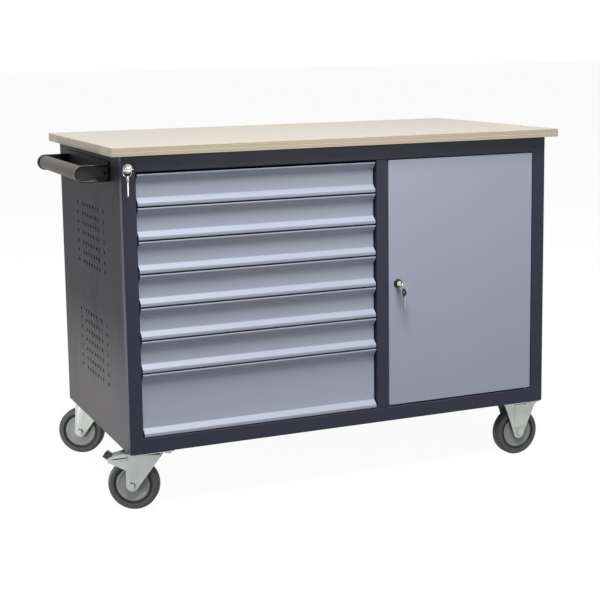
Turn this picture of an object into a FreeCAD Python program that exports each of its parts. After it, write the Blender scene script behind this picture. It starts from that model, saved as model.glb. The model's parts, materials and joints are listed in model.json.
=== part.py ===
"""Mobile drawer cabinet: folded steel body on four casters, seven drawers, one door, plywood worktop.

While it is built, X runs from the body's left side, Y from the front face to the rear, Z up from
the floor. The finished pieces are moved so that the origin lies on the floor, under the middle of
the whole object's box. All sizes are in millimetres.
"""
import FreeCAD, Part
import math
import os

V = FreeCAD.Vector
X_AXIS = V(1, 0, 0)
Y_AXIS = V(0, 1, 0)
Z_AXIS = V(0, 0, 1)

# Body widths, from left to right
left_post_width = 34.0
drawer_bay_width = 618.0
centre_post_width = 32.0
door_bay_width = 425.0
right_post_width = 37.0
cabinet_depth = 596.0

# Drawer fronts, from the bottom of the bay to its top
small_drawer_count = 6
small_front_height = 75.0
large_front_height = 152.0
front_gap = 4.0
bay_bottom_gap = 2.0
bay_top_gap = 5.0

# Body heights and sheets
caster_height = 150.0
bottom_rail_height = 38.0
top_rail_height = 39.0
body_sheet = 1.2
base_sheet = 2.0
bend_radius = 1.5
post_depth = 45.0
post_side_lap = 20.0
post_lip = 12.0
base_flange = 95.0
top_rail_return = 28.0
rear_lip = 25.0
back_flange = 22.0
partition_post_depth = 24.0
partition_lip = 16.0
partition_rear_gap = 26.0
partition_flange = 20.0

# Plywood worktop
worktop_thickness = 21.0
overhang_left = 26.0
overhang_right = 28.0
overhang_front = 18.0
overhang_back = 16.0
worktop_edge_break = 1.0

# Perforated field of the side panels
hole_pitch = 25.0
hole_side = 9.0
hole_rows = 7
hole_columns = 11
blank_columns = (1, 9)
upper_field_height = 488.0
lower_field_height = 209.0

# Drawer fronts, boxes and slides
front_sheet = 1.0
front_side_gap = 3.0
front_recess = 13.0
lip_height = 8.0
flare_height = 11.0
band_height = 16.0
top_lip_height = 3.0
box_sheet = 1.0
box_rear_gap = 60.8
box_lift = 6.0
small_box_height = 56.0
large_box_height = 130.0
hem_thickness = 2.2
hem_height = 8.0
slide_width = 12.7
slide_height = 36.0
slide_sheet = 1.2
slide_length = 500.0
slide_setback = 30.0
slide_lift = 8.0
slide_flange = 9.5
ball_space = 3.5
inner_flange = 8.7
drawer_travel = 400.0
upright_depth = 25.0

# Central drawer lock
drawer_lock_x = 15.0
drawer_lock_height = 681.0
lock_pin_throw = 7.0
lock_pin_radius = 2.0
lock_pin_clearance = 0.5
bar_left = 3.0
bar_width = 26.0
bar_sheet = 2.0
bar_setback = 24.0
lug_height = 6.0
lug_reach = 10.0
lug_slot_clearance = 2.0
catch_lift = 46.0
catch_height = 6.0
catch_width = 6.0
catch_setback = 29.0
catch_length = 6.0

# Locks and keys
rosette_radius = 11.5
rosette_thickness = 2.5
collar_radius = 9.0
collar_height = 5.5
plug_radius = 6.0
running_clearance = 0.1
fitted_clearance = 0.2
lock_depth = 20.0
key_thickness = 2.0
key_neck_width = 7.0
key_neck_length = 4.0
key_bow_radius = 10.0
key_blade_length = 20.0
key_slot_clearance = 0.2
key_hole_radius = 4.0
ring_radius = 10.0
ring_wire = 1.2
ring_clearance = 0.45
spare_bow_radius = 8.5
spare_rim = 2.0
spare_length = 49.0
spare_blade_width = 7.0

# Door
door_gap = 2.0
door_bottom_gap = 3.0
door_sheet = 1.2
door_thickness = 20.0
door_return = 15.0
door_lock_inset = 25.0
door_lock_height = 356.0
door_swing = 110.0
hinge_inset = 14.0
hinge_setback = 6.5
hinge_pin_radius = 3.0
hinge_pin_entry = 11.0
hinge_collar_radius = 5.0
stiffener_width = 80.0
stiffener_lip = 15.0
cam_length = 40.0
cam_width = 14.0
cam_sheet = 2.5
cam_setback = 26.0

# Shelf behind the door
shelf_height = 350.0
shelf_sheet = 1.0
shelf_lip = 25.0
shelf_front = 50.0
shelf_back_gap = 20.0
shelf_side_gap = 2.0
clip_width = 20.0
clip_reach = 12.0
clip_height = 22.0
clip_sheet = 2.0
clip_inset = 70.0

# Push handle on the left side
handle_drop = 47.0
handle_span = 400.0
handle_reach = 65.0
arm_radius = 20.0
arm_thickness = 12.0
arm_pocket = 8.0
arm_rim = 3.0
wall_plate_thickness = 3.0
wall_plate_rise = 9.0
grip_radius = 17.5
grip_bore = 14.0
grip_end_round = 2.0

# Casters: plates, forks and wheels
caster_inset_x = 58.0
caster_inset_y = 44.0
plate_length = 105.0
plate_width = 85.0
plate_sheet = 2.5
race_radius = 28.0
race_height = 6.5
race_gap = 0.5
kingpin_radius = 6.0
kingpin_nut_across = 18.0
kingpin_nut_height = 4.0
fork_sheet = 3.0
fork_gap = 40.0
crown_front = 31.0
crown_rear = 48.0
fork_shoulder = 8.0
foot_drop = 14.0
foot_front = 8.0
foot_rear = 14.5
foot_corner_radius = 13.8
fixed_fork_half_top = 44.0
fixed_foot_half = 10.0
trail = 38.0
swivel_angle = 150.5
wheel_radius = 62.5
tyre_width = 32.0
tyre_inner_radius = 47.0
tyre_shoulder = 5.0
hub_width = 38.0
boss_radius = 15.0
disc_half = 14.0
axle_radius = 6.0
axle_end_clearance = 0.5
axle_head_across = 13.0
axle_head_height = 6.0

# Brake on the front left caster
arm_top_end = 60.0
arm_end = 96.0
arm_end_top = 20.0
arm_end_bottom = 32.0
arm_elbow = 70.0
arm_elbow_drop = 42.0
arm_root_drop = 50.0
pedal_pivot_along = 62.0
pedal_pivot_drop = 20.0
pedal_barrel_radius = 5.0
pedal_pin_radius = 3.0
pedal_plate = 3.0
pedal_width = 36.0
pedal_top_drop = 14.0
pad_start = 92.0
pad_end = 113.0
pad_top_drop = 11.0
pad_bottom_drop = 27.0
pad_width = 30.0
pad_round = 4.0
shoe_start = 66.0
shoe_end = 78.0
brake_gap = 0.4
pedal_swing = 12.0

# Places that follow from the sizes above
drawer_bay_left = left_post_width
drawer_bay_right = drawer_bay_left + drawer_bay_width
door_bay_left = drawer_bay_right + centre_post_width
door_bay_right = door_bay_left + door_bay_width
cabinet_width = door_bay_right + right_post_width
body_bottom = caster_height
bay_bottom = body_bottom + bottom_rail_height
small_pitch = small_front_height + front_gap
bay_top = bay_bottom + bay_bottom_gap + large_front_height + small_drawer_count * small_pitch + bay_top_gap
body_top = bay_top + top_rail_height
worktop_top = body_top + worktop_thickness
partition_rear = cabinet_depth - partition_rear_gap
box_front = front_recess + front_sheet
box_depth = cabinet_depth - body_sheet - box_front - box_rear_gap
drawer_lock_z = body_bottom + drawer_lock_height
door_left = door_bay_left + door_gap
door_right = door_bay_right - door_gap
door_bottom = bay_bottom + door_bottom_gap
door_top = bay_top - door_gap
door_lock_x = door_left + door_lock_inset
door_lock_z = body_bottom + door_lock_height
hinge_x = door_right - hinge_inset
handle_z = body_top - handle_drop
handle_front = (cabinet_depth - handle_span) / 2
handle_rear = handle_front + handle_span
crown_top = plate_sheet + race_height + race_gap
axle_drop = caster_height - wheel_radius
lock_nose = rosette_thickness + collar_height
key_bow_y = -(lock_nose + key_neck_length + key_bow_radius)
key_tip = key_bow_radius - key_bow_y
bar_travel = 2 * lock_pin_throw * math.sin(math.radians(45))
box_left = -(handle_reach + arm_radius)
box_right = cabinet_width + overhang_right
box_rear = cabinet_depth + overhang_back
origin = V((box_left + box_right) / 2, (box_rear - key_tip) / 2, 0)


# Plain shapes
def block(x0, x1, y0, y1, z0, z1):
    """A box between two corners."""
    return Part.makeBox(x1 - x0, y1 - y0, z1 - z0, V(x0, y0, z0))


def rod(centre, axis, radius, start, end):
    """A cylinder on a line through centre, from start to end along the axis."""
    return Part.makeCylinder(radius, end - start, centre + axis * start, axis)


def hexagon(centre, axis, across, start, end):
    """A hexagonal prism on a line through centre; across is the distance over its flats."""
    side = X_AXIS if abs(axis.dot(X_AXIS)) < 0.5 else Z_AXIS
    side = side - axis * side.dot(axis)
    side.normalize()
    other = axis.cross(side)
    corners = []
    for step in range(7):
        turn = math.radians(60 * step)
        arm = side * math.cos(turn) + other * math.sin(turn)
        corners.append(centre + axis * start + arm * (across / math.sqrt(3)))
    return Part.Face(Part.makePolygon(corners)).extrude(axis * (end - start))


def outline(points, radii, place):
    """A face with the given corners, each rounded by an arc of its radius (0 keeps it sharp)."""
    count = len(points)
    ends = []
    for i in range(count):
        corner = V(*points[i], 0)
        if radii[i] == 0:
            ends.append((corner, None, corner))
            continue
        before = V(*points[i - 1], 0) - corner
        after = V(*points[(i + 1) % count], 0) - corner
        before.normalize()
        after.normalize()
        half = before.getAngle(after) / 2
        cut = radii[i] / math.tan(half)
        inward = before + after
        inward.normalize()
        middle = corner + inward * (radii[i] / math.sin(half) - radii[i])
        ends.append((corner + before * cut, middle, corner + after * cut))
    edges = []
    for i in range(count):
        start, middle, end = ends[i]
        if middle is not None:
            edges.append(Part.Arc(place(start), place(middle), place(end)).toShape())
        following = ends[(i + 1) % count][0]
        if end.distanceToPoint(following) > 1e-6:
            edges.append(Part.LineSegment(place(end), place(following)).toShape())
    return Part.Face(Part.Wire(edges))


def prism(points, axis, low, high, radii=None):
    """A solid with the given outline, extruded along a main axis from low to high.

    Along X the outline is (y, z), along Y it is (x, z), and along Z it is (x, y).
    """
    if radii is None:
        radii = [0] * len(points)
    place = {
        "x": lambda p: V(low, p.x, p.y),
        "y": lambda p: V(p.x, low, p.y),
        "z": lambda p: V(p.x, p.y, low),
    }[axis]
    direction = {"x": X_AXIS, "y": Y_AXIS, "z": Z_AXIS}[axis]
    return outline(points, radii, place).extrude(direction * (high - low))


def bent_sheet(path, sheet, axis, low, high, side=1, radius=bend_radius):
    """A folded sheet with rounded bends, or sharp ones where radius is None.

    The path is the section of one face, and the thickness lies on its left (side=1) or right (side=-1).
    """
    points = [V(*p, 0) for p in path]
    count = len(points)
    normals = []
    for i in range(count - 1):
        run = points[i + 1] - points[i]
        run.normalize()
        normals.append(V(-run.y, run.x, 0) * side)
    second = [points[0] + normals[0] * sheet]
    first_radii = [0]
    second_radii = [0]
    for i in range(1, count - 1):
        bisector = normals[i - 1] + normals[i]
        second.append(points[i] + bisector * (2 * sheet / bisector.dot(bisector)))
        if radius is None:
            first_radii.append(0)
            second_radii.append(0)
            continue
        run = points[i + 1] - points[i]
        turns_to_sheet = normals[i - 1].dot(run) > 0
        first_radii.append(radius + sheet if turns_to_sheet else radius)
        second_radii.append(radius if turns_to_sheet else radius + sheet)
    second.append(points[-1] + normals[-1] * sheet)
    first_radii.append(0)
    second_radii.append(0)
    loop = [(p.x, p.y) for p in points] + [(p.x, p.y) for p in reversed(second)]
    return prism(loop, axis, low, high, first_radii + list(reversed(second_radii)))


def ring_section(points, centre, axis, side):
    """A turned piece: the outline (radius, place along the axis) revolved about the axis."""
    corners = [centre + side * r + axis * s for r, s in points]
    return Part.Face(Part.makePolygon(corners + [corners[0]])).revolve(centre, axis, 360)


def write(node, solids):
    """Moves the solids to the finished origin and writes them as one node."""
    pieces = []
    for solid in solids:
        piece = solid.removeSplitter()
        piece.translate(origin * -1)
        pieces.extend(piece.Solids)
    shape = pieces[0] if len(pieces) == 1 else Part.makeCompound(pieces)
    shape.exportStep("parts/" + node + ".step")


# Body
def side_panel(x0):
    """Flat sheet behind the post, with two fields of square punched holes and blank columns between."""
    panel = block(x0, x0 + body_sheet, post_side_lap, cabinet_depth, body_bottom, body_top)
    first_column = cabinet_depth / 2 - hole_pitch * (hole_columns - 1) / 2
    punches = []
    for field_height in (upper_field_height, lower_field_height):
        first_row = body_bottom + field_height - hole_pitch * (hole_rows - 1) / 2
        for column in range(hole_columns):
            if column in blank_columns:
                continue
            for row in range(hole_rows):
                y = first_column + column * hole_pitch - hole_side / 2
                z = first_row + row * hole_pitch - hole_side / 2
                punches.append(block(x0 - 1, x0 + body_sheet + 1, y, y + hole_side, z, z + hole_side))
    return panel.cut(Part.makeCompound(punches))


def corner_post(outer, inner):
    """Front corner post: face, side lap, and inner leg with a return lip; its foot stands on the base."""
    towards = 1 if inner > outer else -1
    path = [
        (outer, post_side_lap),
        (outer, 0),
        (inner, 0),
        (inner, post_depth),
        (inner - towards * post_lip, post_depth),
    ]
    low = body_bottom + base_sheet
    return bent_sheet(path, body_sheet, "z", low, body_top - body_sheet, side=towards)


def drawer_base(index):
    """Height of the bottom edge of a drawer front; index 0 is the large drawer at the bottom."""
    first = bay_bottom + bay_bottom_gap
    if index == 0:
        return first
    return first + large_front_height + front_gap + (index - 1) * small_pitch


drawer_total = small_drawer_count + 1


def left_post():
    """Left corner post with the lock hole in its face and a slot for each lug of the lock bar."""
    post = corner_post(0, left_post_width)
    hole = rod(V(drawer_lock_x, 0, drawer_lock_z), Y_AXIS, collar_radius + fitted_clearance, -1, 5)
    slots = [hole]
    for index in range(drawer_total):
        lug_bottom = drawer_base(index) + catch_lift
        slots.append(
            block(
                left_post_width - 2 * body_sheet,
                left_post_width + 1,
                bar_setback - lug_slot_clearance,
                bar_setback + bar_sheet + lug_slot_clearance,
                lug_bottom - lug_slot_clearance,
                lug_bottom + bar_travel + lug_height + lug_slot_clearance,
            )
        )
    return post.cut(Part.makeCompound(slots))


def base_panel():
    """Floor sheet with the bottom rails folded under it, and the flanges that carry the casters."""
    path = [
        (base_flange, body_bottom),
        (0, body_bottom),
        (0, bay_bottom),
        (cabinet_depth, bay_bottom),
        (cabinet_depth, body_bottom),
        (cabinet_depth - base_flange, body_bottom),
    ]
    panel = bent_sheet(path, base_sheet, "x", body_sheet, cabinet_width - body_sheet, side=-1)
    low = body_bottom + base_sheet
    cuts = [
        block(0, left_post_width, -1, post_depth, low, bay_bottom + 1),
        block(door_bay_right, cabinet_width, -1, post_depth, low, bay_bottom + 1),
    ]
    return panel.cut(Part.makeCompound(cuts))


def top_panel():
    """Flat top sheet, and under it the folded front rail and the rear lip, each a strip of its own."""
    path = [
        (top_rail_return, bay_top),
        (0, bay_top),
        (0, body_top),
        (cabinet_depth, body_top),
        (cabinet_depth, body_top - rear_lip),
    ]
    panel = bent_sheet(path, body_sheet, "x", body_sheet, cabinet_width - body_sheet, side=-1)
    high = body_top - body_sheet
    cuts = [
        block(0, left_post_width, -1, post_depth, bay_top - 1, high),
        block(door_bay_right, cabinet_width, -1, post_depth, bay_top - 1, high),
    ]
    panel = panel.cut(Part.makeCompound(cuts))
    top_slice = block(-1, cabinet_width + 1, -1, cabinet_depth + 1, high, body_top + 1)
    return panel.common(top_slice).Solids + panel.cut(top_slice).Solids


def back_panel():
    """Rear sheet between the base and the top, with flanges against the side panels."""
    front = cabinet_depth - back_flange
    path = [
        (body_sheet, front),
        (body_sheet, cabinet_depth),
        (cabinet_width - body_sheet, cabinet_depth),
        (cabinet_width - body_sheet, front),
    ]
    return bent_sheet(path, body_sheet, "z", bay_bottom, body_top - rear_lip, side=-1)


def centre_partition():
    """Wall between the bays, folded into the centre post at the front and a flange at the rear."""
    path = [
        (door_bay_left - partition_lip, partition_post_depth),
        (door_bay_left, partition_post_depth),
        (door_bay_left, 0),
        (drawer_bay_right, 0),
        (drawer_bay_right, partition_rear),
        (drawer_bay_right + partition_flange, partition_rear),
    ]
    wall = bent_sheet(path, body_sheet, "z", bay_bottom, bay_top, side=-1)
    web = block(
        drawer_bay_right,
        drawer_bay_right + body_sheet,
        top_rail_return,
        partition_rear - bend_radius - body_sheet,
        bay_top,
        body_top - body_sheet,
    )
    return wall.fuse(web)


def rear_upright():
    """Channel that carries the rear ends of the left slides."""
    rear = slide_setback + slide_length
    front = rear - upright_depth
    path = [
        (body_sheet, front),
        (left_post_width, front),
        (left_post_width, rear),
        (body_sheet, rear),
    ]
    return bent_sheet(path, body_sheet, "z", bay_bottom, body_top - body_sheet, side=1)


# Worktop
def worktop():
    """Plywood board with its upper edges broken."""
    board = block(
        -overhang_left,
        cabinet_width + overhang_right,
        -overhang_front,
        cabinet_depth + overhang_back,
        body_top,
        worktop_top,
    )
    edges = [e for e in board.Edges if e.BoundBox.ZMin > worktop_top - 0.1]
    return board.makeChamfer(worktop_edge_break, edges)


# Drawers
def drawer_front(index):
    """Bent front: lip, flare, recessed face, leaning band and top lip, with returns top and bottom."""
    z = drawer_base(index)
    top = z + (large_front_height if index == 0 else small_front_height)
    path = [
        (box_front, z),
        (0, z),
        (0, z + lip_height),
        (front_recess, z + lip_height + flare_height),
        (front_recess, top - top_lip_height - band_height),
        (0, top - top_lip_height),
        (0, top),
        (box_front, top),
    ]
    left = drawer_bay_left + front_side_gap
    right = drawer_bay_right - front_side_gap
    return bent_sheet(path, front_sheet, "x", left, right, side=-1, radius=front_sheet)


def hemmed_wall(face, towards, axis, start, end, low, high):
    """Upright sheet with a hem folded along its top; the outer side is at face."""
    inner = face + towards * box_sheet
    hem = face + towards * hem_thickness
    corners = [
        (face, low),
        (inner, low),
        (inner, high - hem_height),
        (hem, high - hem_height),
        (hem, high),
        (face, high),
    ]
    return prism(corners, axis, start, end)


def drawer_box(index):
    """Open box: a floor sheet, hemmed side walls, and hemmed front and rear walls between them."""
    height = large_box_height if index == 0 else small_box_height
    left = drawer_bay_left + slide_width
    right = drawer_bay_right - slide_width
    bottom = drawer_base(index) + box_lift
    rear = box_front + box_depth
    low = bottom + box_sheet
    high = bottom + height
    floor = block(left, right, box_front, rear, bottom, low)
    sides = [
        hemmed_wall(left, 1, "y", box_front, rear, low, high),
        hemmed_wall(right, -1, "y", box_front, rear, low, high),
    ]
    ends = [
        hemmed_wall(box_front, 1, "x", left + box_sheet, right - box_sheet, low, high),
        hemmed_wall(rear, -1, "x", left + box_sheet, right - box_sheet, low, high),
    ]
    return [floor] + sides + [wall.cut(Part.makeCompound(sides)) for wall in ends]


def drawer_catch(index):
    """Block above the left slide that the lock bar holds."""
    wall = drawer_bay_left + slide_width
    bottom = drawer_base(index) + catch_lift
    rear = catch_setback + catch_length
    return block(wall - catch_width, wall, catch_setback, rear, bottom, bottom + catch_height)


def slide_member(wall_x, towards, index, inner):
    """One slide member: the cabinet's channel on the bay wall, or the drawer's channel inside it."""
    bottom = drawer_base(index) + slide_lift
    if inner:
        web = wall_x + towards * slide_width
        tip = web - towards * inner_flange
        low = bottom + slide_sheet + ball_space
        high = bottom + slide_height - slide_sheet - ball_space
        hand = towards
    else:
        web = wall_x
        tip = wall_x + towards * slide_flange
        low = bottom
        high = bottom + slide_height
        hand = -towards
    path = [(tip, high), (web, high), (web, low), (tip, low)]
    end = slide_setback + slide_length
    return bent_sheet(path, slide_sheet, "y", slide_setback, end, side=-hand, radius=None)


def drawer_slides(index, inner):
    """The pair of slide members at one drawer."""
    return [
        slide_member(drawer_bay_left, 1, index, inner),
        slide_member(drawer_bay_right, -1, index, inner),
    ]


# Locks and keys
def lock_body(x, z):
    """Round rosette and collar on the face, and the barrel behind it, bored for the plug."""
    centre = V(x, 0, z)
    bore = plug_radius + running_clearance
    section = [
        (bore, -lock_nose),
        (collar_radius - 1, -lock_nose),
        (collar_radius, -rosette_thickness),
        (rosette_radius - 1, -rosette_thickness),
        (rosette_radius, 0),
        (collar_radius, 0),
        (collar_radius, lock_depth),
        (bore, lock_depth),
    ]
    return ring_section(section, centre, Y_AXIS, X_AXIS)


def plug_and_key(x, z, tail):
    """Lock plug with its tail piece, and the key in its slot; the bow lies level when unlocked."""
    centre = V(x, 0, z)
    plug = rod(centre, Y_AXIS, plug_radius, -lock_nose, lock_depth).fuse(tail)
    half = key_neck_width / 2
    slot_half = half + key_slot_clearance
    thick = key_thickness / 2
    slot_thick = thick + key_slot_clearance
    end = key_blade_length - lock_nose
    keyway = block(x - slot_half, x + slot_half, -lock_nose - 1, end + 1, z - slot_thick, z + slot_thick)
    root = key_bow_y + (key_hole_radius + key_bow_radius) / 2
    blade = block(x - half, x + half, root, end, z - thick, z + thick)
    bow_centre = V(x, key_bow_y, z)
    bow = rod(bow_centre, Z_AXIS, key_bow_radius, -thick, thick)
    hole = rod(bow_centre, Z_AXIS, key_hole_radius, -thick - 1, thick + 1)
    return [plug.cut(keyway), blade.fuse(bow).cut(hole)]


def ring_centre(x, z, side):
    """Middle of a key ring that hangs on the left rim (side=-1) or the right rim of the key's bow."""
    rim_middle = (key_bow_radius + key_hole_radius) / 2
    rim_half = (key_bow_radius - key_hole_radius) / 2
    reach = ring_radius - ring_wire / 2 - ring_clearance
    drop = math.sqrt(reach * reach - rim_half * rim_half) - key_thickness / 2
    return V(x + side * rim_middle, key_bow_y, z - drop)


def ring_and_spare(x, z, side):
    """Key ring through the bow, and the spare key that hangs edge-on from the bottom of the ring."""
    centre = ring_centre(x, z, side)
    half = ring_wire / 2
    section = [
        (ring_radius - half, -half),
        (ring_radius + half, -half),
        (ring_radius + half, half),
        (ring_radius - half, half),
    ]
    ring = ring_section(section, centre, Y_AXIS, X_AXIS)
    hole_z = centre.z - ring_radius + half + ring_clearance / 2 - key_hole_radius
    bow_top = hole_z + key_hole_radius + spare_rim
    bow_z = bow_top - spare_bow_radius
    thick = key_thickness / 2
    bow = rod(V(centre.x, centre.y, bow_z), X_AXIS, spare_bow_radius, -thick, thick)
    blade_half = spare_blade_width / 2
    tip_z = bow_top - spare_length
    blade_outline = [
        (centre.y - blade_half, bow_z),
        (centre.y - blade_half, tip_z + blade_half),
        (centre.y, tip_z),
        (centre.y + blade_half, tip_z + blade_half),
        (centre.y + blade_half, bow_z),
    ]
    blade = prism(blade_outline, "x", centre.x - thick, centre.x + thick)
    hole = rod(V(centre.x, centre.y, hole_z), X_AXIS, key_hole_radius, -thick - 1, thick + 1)
    return [ring, bow.fuse(blade).cut(hole)]


def drawer_lock_tail():
    """Disc behind the barrel with the eccentric pin that works the lock bar."""
    centre = V(drawer_lock_x, 0, drawer_lock_z)
    disc_radius = lock_pin_throw + lock_pin_radius + lock_pin_clearance
    disc = rod(centre, Y_AXIS, disc_radius, lock_depth + running_clearance, bar_setback - fitted_clearance)
    neck = rod(centre, Y_AXIS, plug_radius, lock_depth - 1, lock_depth + 1)
    throw = V(-1, 0, 1) * (lock_pin_throw / math.sqrt(2))
    end = bar_setback + bar_sheet + 1
    pin = rod(centre + throw, Y_AXIS, lock_pin_radius, lock_depth + running_clearance, end)
    return disc.fuse([neck, pin])


def lock_bar():
    """Flat bar in the left post, with a lug for each drawer and a cross slot for the lock's pin."""
    pin_z = drawer_lock_z + lock_pin_throw / math.sqrt(2)
    top = pin_z + lug_height + lock_pin_radius
    bottom = drawer_base(0) + catch_lift
    bar = block(bar_left, bar_left + bar_width, bar_setback, bar_setback + bar_sheet, bottom, top)
    lugs = []
    for index in range(drawer_total):
        lug_bottom = drawer_base(index) + catch_lift + bar_travel
        lugs.append(
            block(
                bar_left + bar_width,
                left_post_width + lug_reach,
                bar_setback,
                bar_setback + bar_sheet,
                lug_bottom,
                lug_bottom + lug_height,
            )
        )
    half = lock_pin_radius + lock_pin_clearance
    near = drawer_lock_x - lock_pin_throw - half
    far = drawer_lock_x - lock_pin_throw / math.sqrt(2) + half
    slot = block(near, far, bar_setback - 1, bar_setback + bar_sheet + 1, pin_z - half, pin_z + half)
    return bar.fuse(lugs).cut(slot)


# Door
def door_panel():
    """Door pan with folded edges and rear returns, holes for its pins and lock, and a stiffener."""
    pan = block(door_left, door_right, 0, door_thickness, door_bottom, door_top)
    inner = block(
        door_left + door_sheet,
        door_right - door_sheet,
        door_sheet,
        door_thickness - door_sheet,
        door_bottom + door_sheet,
        door_top - door_sheet,
    )
    window = block(
        door_left + door_return,
        door_right - door_return,
        door_thickness - 2 * door_sheet,
        door_thickness + 1,
        door_bottom + door_return,
        door_top - door_return,
    )
    edges = [e for e in pan.Edges if e.BoundBox.YMax < 0.1]
    pan = pan.makeFillet(bend_radius, edges).cut(inner.fuse(window))
    lock_centre = V(door_lock_x, 0, door_lock_z)
    lock_hole = rod(lock_centre, Y_AXIS, collar_radius + fitted_clearance, -1, 2 * door_sheet)
    pin_line = V(hinge_x, hinge_setback, 0)
    pin_hole = hinge_pin_radius + running_clearance
    lower = rod(pin_line, Z_AXIS, pin_hole, door_bottom - 1, door_bottom + 2 * door_sheet)
    upper = rod(pin_line, Z_AXIS, pin_hole, door_top - 2 * door_sheet, door_top + 1)
    return pan.cut(Part.makeCompound([lock_hole, lower, upper]))


def door_stiffener():
    """Hat-shaped upright welded inside the door."""
    middle = (door_left + door_right) / 2
    half = stiffener_width / 2
    near = door_sheet
    far = door_thickness - door_sheet
    path = [
        (middle - half, near),
        (middle - half + stiffener_lip, near),
        (middle - half + stiffener_lip, far),
        (middle + half - stiffener_lip, far),
        (middle + half - stiffener_lip, near),
        (middle + half, near),
    ]
    low = door_bottom + door_return
    return bent_sheet(path, door_sheet, "z", low, door_top - door_return, side=1)


def door_pins():
    """Pivot pins: one with a collar rises from the floor sheet, one hangs from the top rail."""
    line = V(hinge_x, hinge_setback, 0)
    lower = rod(line, Z_AXIS, hinge_pin_radius, bay_bottom, door_bottom + hinge_pin_entry)
    collar = rod(line, Z_AXIS, hinge_collar_radius, bay_bottom, door_bottom - fitted_clearance)
    upper = rod(line, Z_AXIS, hinge_pin_radius, door_top - hinge_pin_entry, bay_top)
    return [lower.fuse(collar), upper]


def door_lock_tail():
    """Cam behind the door; it points down when unlocked and turns left behind the centre post."""
    half = cam_width / 2
    radii = [0, half - 0.1, half - 0.1, 0]
    cam_outline = [
        (door_lock_x - half, door_lock_z + half),
        (door_lock_x - half, door_lock_z - cam_length),
        (door_lock_x + half, door_lock_z - cam_length),
        (door_lock_x + half, door_lock_z + half),
    ]
    cam = prism(cam_outline, "y", cam_setback, cam_setback + cam_sheet, radii)
    neck = rod(V(door_lock_x, 0, door_lock_z), Y_AXIS, plug_radius, lock_depth - 1, cam_setback)
    return cam.fuse(neck)


# Shelf
def shelf():
    """Loose shelf with lips turned down at front and rear."""
    top = body_bottom + shelf_height
    rear = cabinet_depth - shelf_back_gap - back_flange
    path = [(shelf_front, top - shelf_lip), (shelf_front, top), (rear, top), (rear, top - shelf_lip)]
    left = drawer_bay_right + body_sheet + shelf_side_gap
    right = cabinet_width - body_sheet - shelf_side_gap
    return bent_sheet(path, shelf_sheet, "x", left, right, side=-1)


def shelf_clips():
    """Four angle clips on the walls, under the shelf."""
    top = body_bottom + shelf_height - shelf_sheet
    clips = []
    for wall, towards in ((drawer_bay_right + body_sheet, 1), (cabinet_width - body_sheet, -1)):
        for y in (shelf_front + clip_inset, cabinet_depth - shelf_back_gap - back_flange - clip_inset):
            path = [(wall, top - clip_height), (wall, top), (wall + towards * clip_reach, top)]
            start = y - clip_width / 2
            end = y + clip_width / 2
            clips.append(bent_sheet(path, clip_sheet, "y", start, end, side=-towards, radius=clip_sheet / 2))
    return clips


# Handle
def handle_arm(outer_y, towards):
    """One moulded arm: a rounded plate with a pocket in its outer side, inside a raised rim."""
    low = handle_z - arm_radius
    high = handle_z + arm_radius
    end = -(handle_reach + arm_radius)
    corner = arm_radius - 0.1
    corners = [(0, low), (end, low), (end, high), (0, high)]
    inner_y = outer_y + towards * arm_thickness
    arm = prism(corners, "y", min(outer_y, inner_y), max(outer_y, inner_y), [0, corner, corner, 0])
    inset = corner - arm_rim
    pocket_corners = [
        (-arm_rim, low + arm_rim),
        (end + arm_rim, low + arm_rim),
        (end + arm_rim, high - arm_rim),
        (-arm_rim, high - arm_rim),
    ]
    floor_y = outer_y + towards * arm_pocket
    outside_y = outer_y - towards
    near = min(outside_y, floor_y)
    far = max(outside_y, floor_y)
    return arm.cut(prism(pocket_corners, "y", near, far, [0, inset, inset, 0]))


def handle_bracket():
    """Wall plate along the side panel, taller than the arm at each of its ends."""
    low = handle_z - arm_radius
    high = handle_z + arm_radius + wall_plate_rise
    plate = block(-wall_plate_thickness, 0, handle_front, handle_rear, low, high)
    return plate.fuse([handle_arm(handle_front, 1), handle_arm(handle_rear, -1)])


def handle_grip():
    """Tubular grip between the arms, with rounded ends."""
    start = handle_front + arm_thickness
    end = handle_rear - arm_thickness
    section = [
        (grip_bore, start),
        (grip_radius - grip_end_round, start),
        (grip_radius, start + grip_end_round),
        (grip_radius, end - grip_end_round),
        (grip_radius - grip_end_round, end),
        (grip_bore, end),
    ]
    return ring_section(section, V(-handle_reach, 0, handle_z), Y_AXIS, X_AXIS)


# Casters
def caster_places():
    """Plate centres on the underside: the two swivel casters at the left, then the two fixed ones."""
    near = caster_inset_y
    far = cabinet_depth - caster_inset_y
    left = caster_inset_x
    right = cabinet_width - caster_inset_x
    return [V(x, y, body_bottom) for x in (left, right) for y in (near, far)]


def caster_plate(centre):
    """Rectangular top plate with rounded corners."""
    half_x = plate_length / 2
    half_y = plate_width / 2
    corners = [
        (centre.x - half_x, centre.y - half_y),
        (centre.x + half_x, centre.y - half_y),
        (centre.x + half_x, centre.y + half_y),
        (centre.x - half_x, centre.y + half_y),
    ]
    return prism(corners, "z", centre.z - plate_sheet, centre.z, [plate_sheet * 2] * 4)


def swivel_plate(centre):
    """Top plate with the ball race pressed into it and the king pin that carries the fork."""
    race_end = plate_sheet + race_height
    race = [
        (0, -plate_sheet / 2),
        (race_radius, -plate_sheet / 2),
        (race_radius, -race_end + 2),
        (race_radius - 3, -race_end),
        (kingpin_radius, -race_end),
        (kingpin_radius, -crown_top - fork_sheet - 1),
        (0, -crown_top - fork_sheet - 1),
    ]
    nut_top = crown_top + fork_sheet + race_gap
    nut = hexagon(centre, Z_AXIS, kingpin_nut_across, -nut_top - kingpin_nut_height, -nut_top)
    return caster_plate(centre).fuse([ring_section(race, centre, Z_AXIS, X_AXIS), nut])


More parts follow.
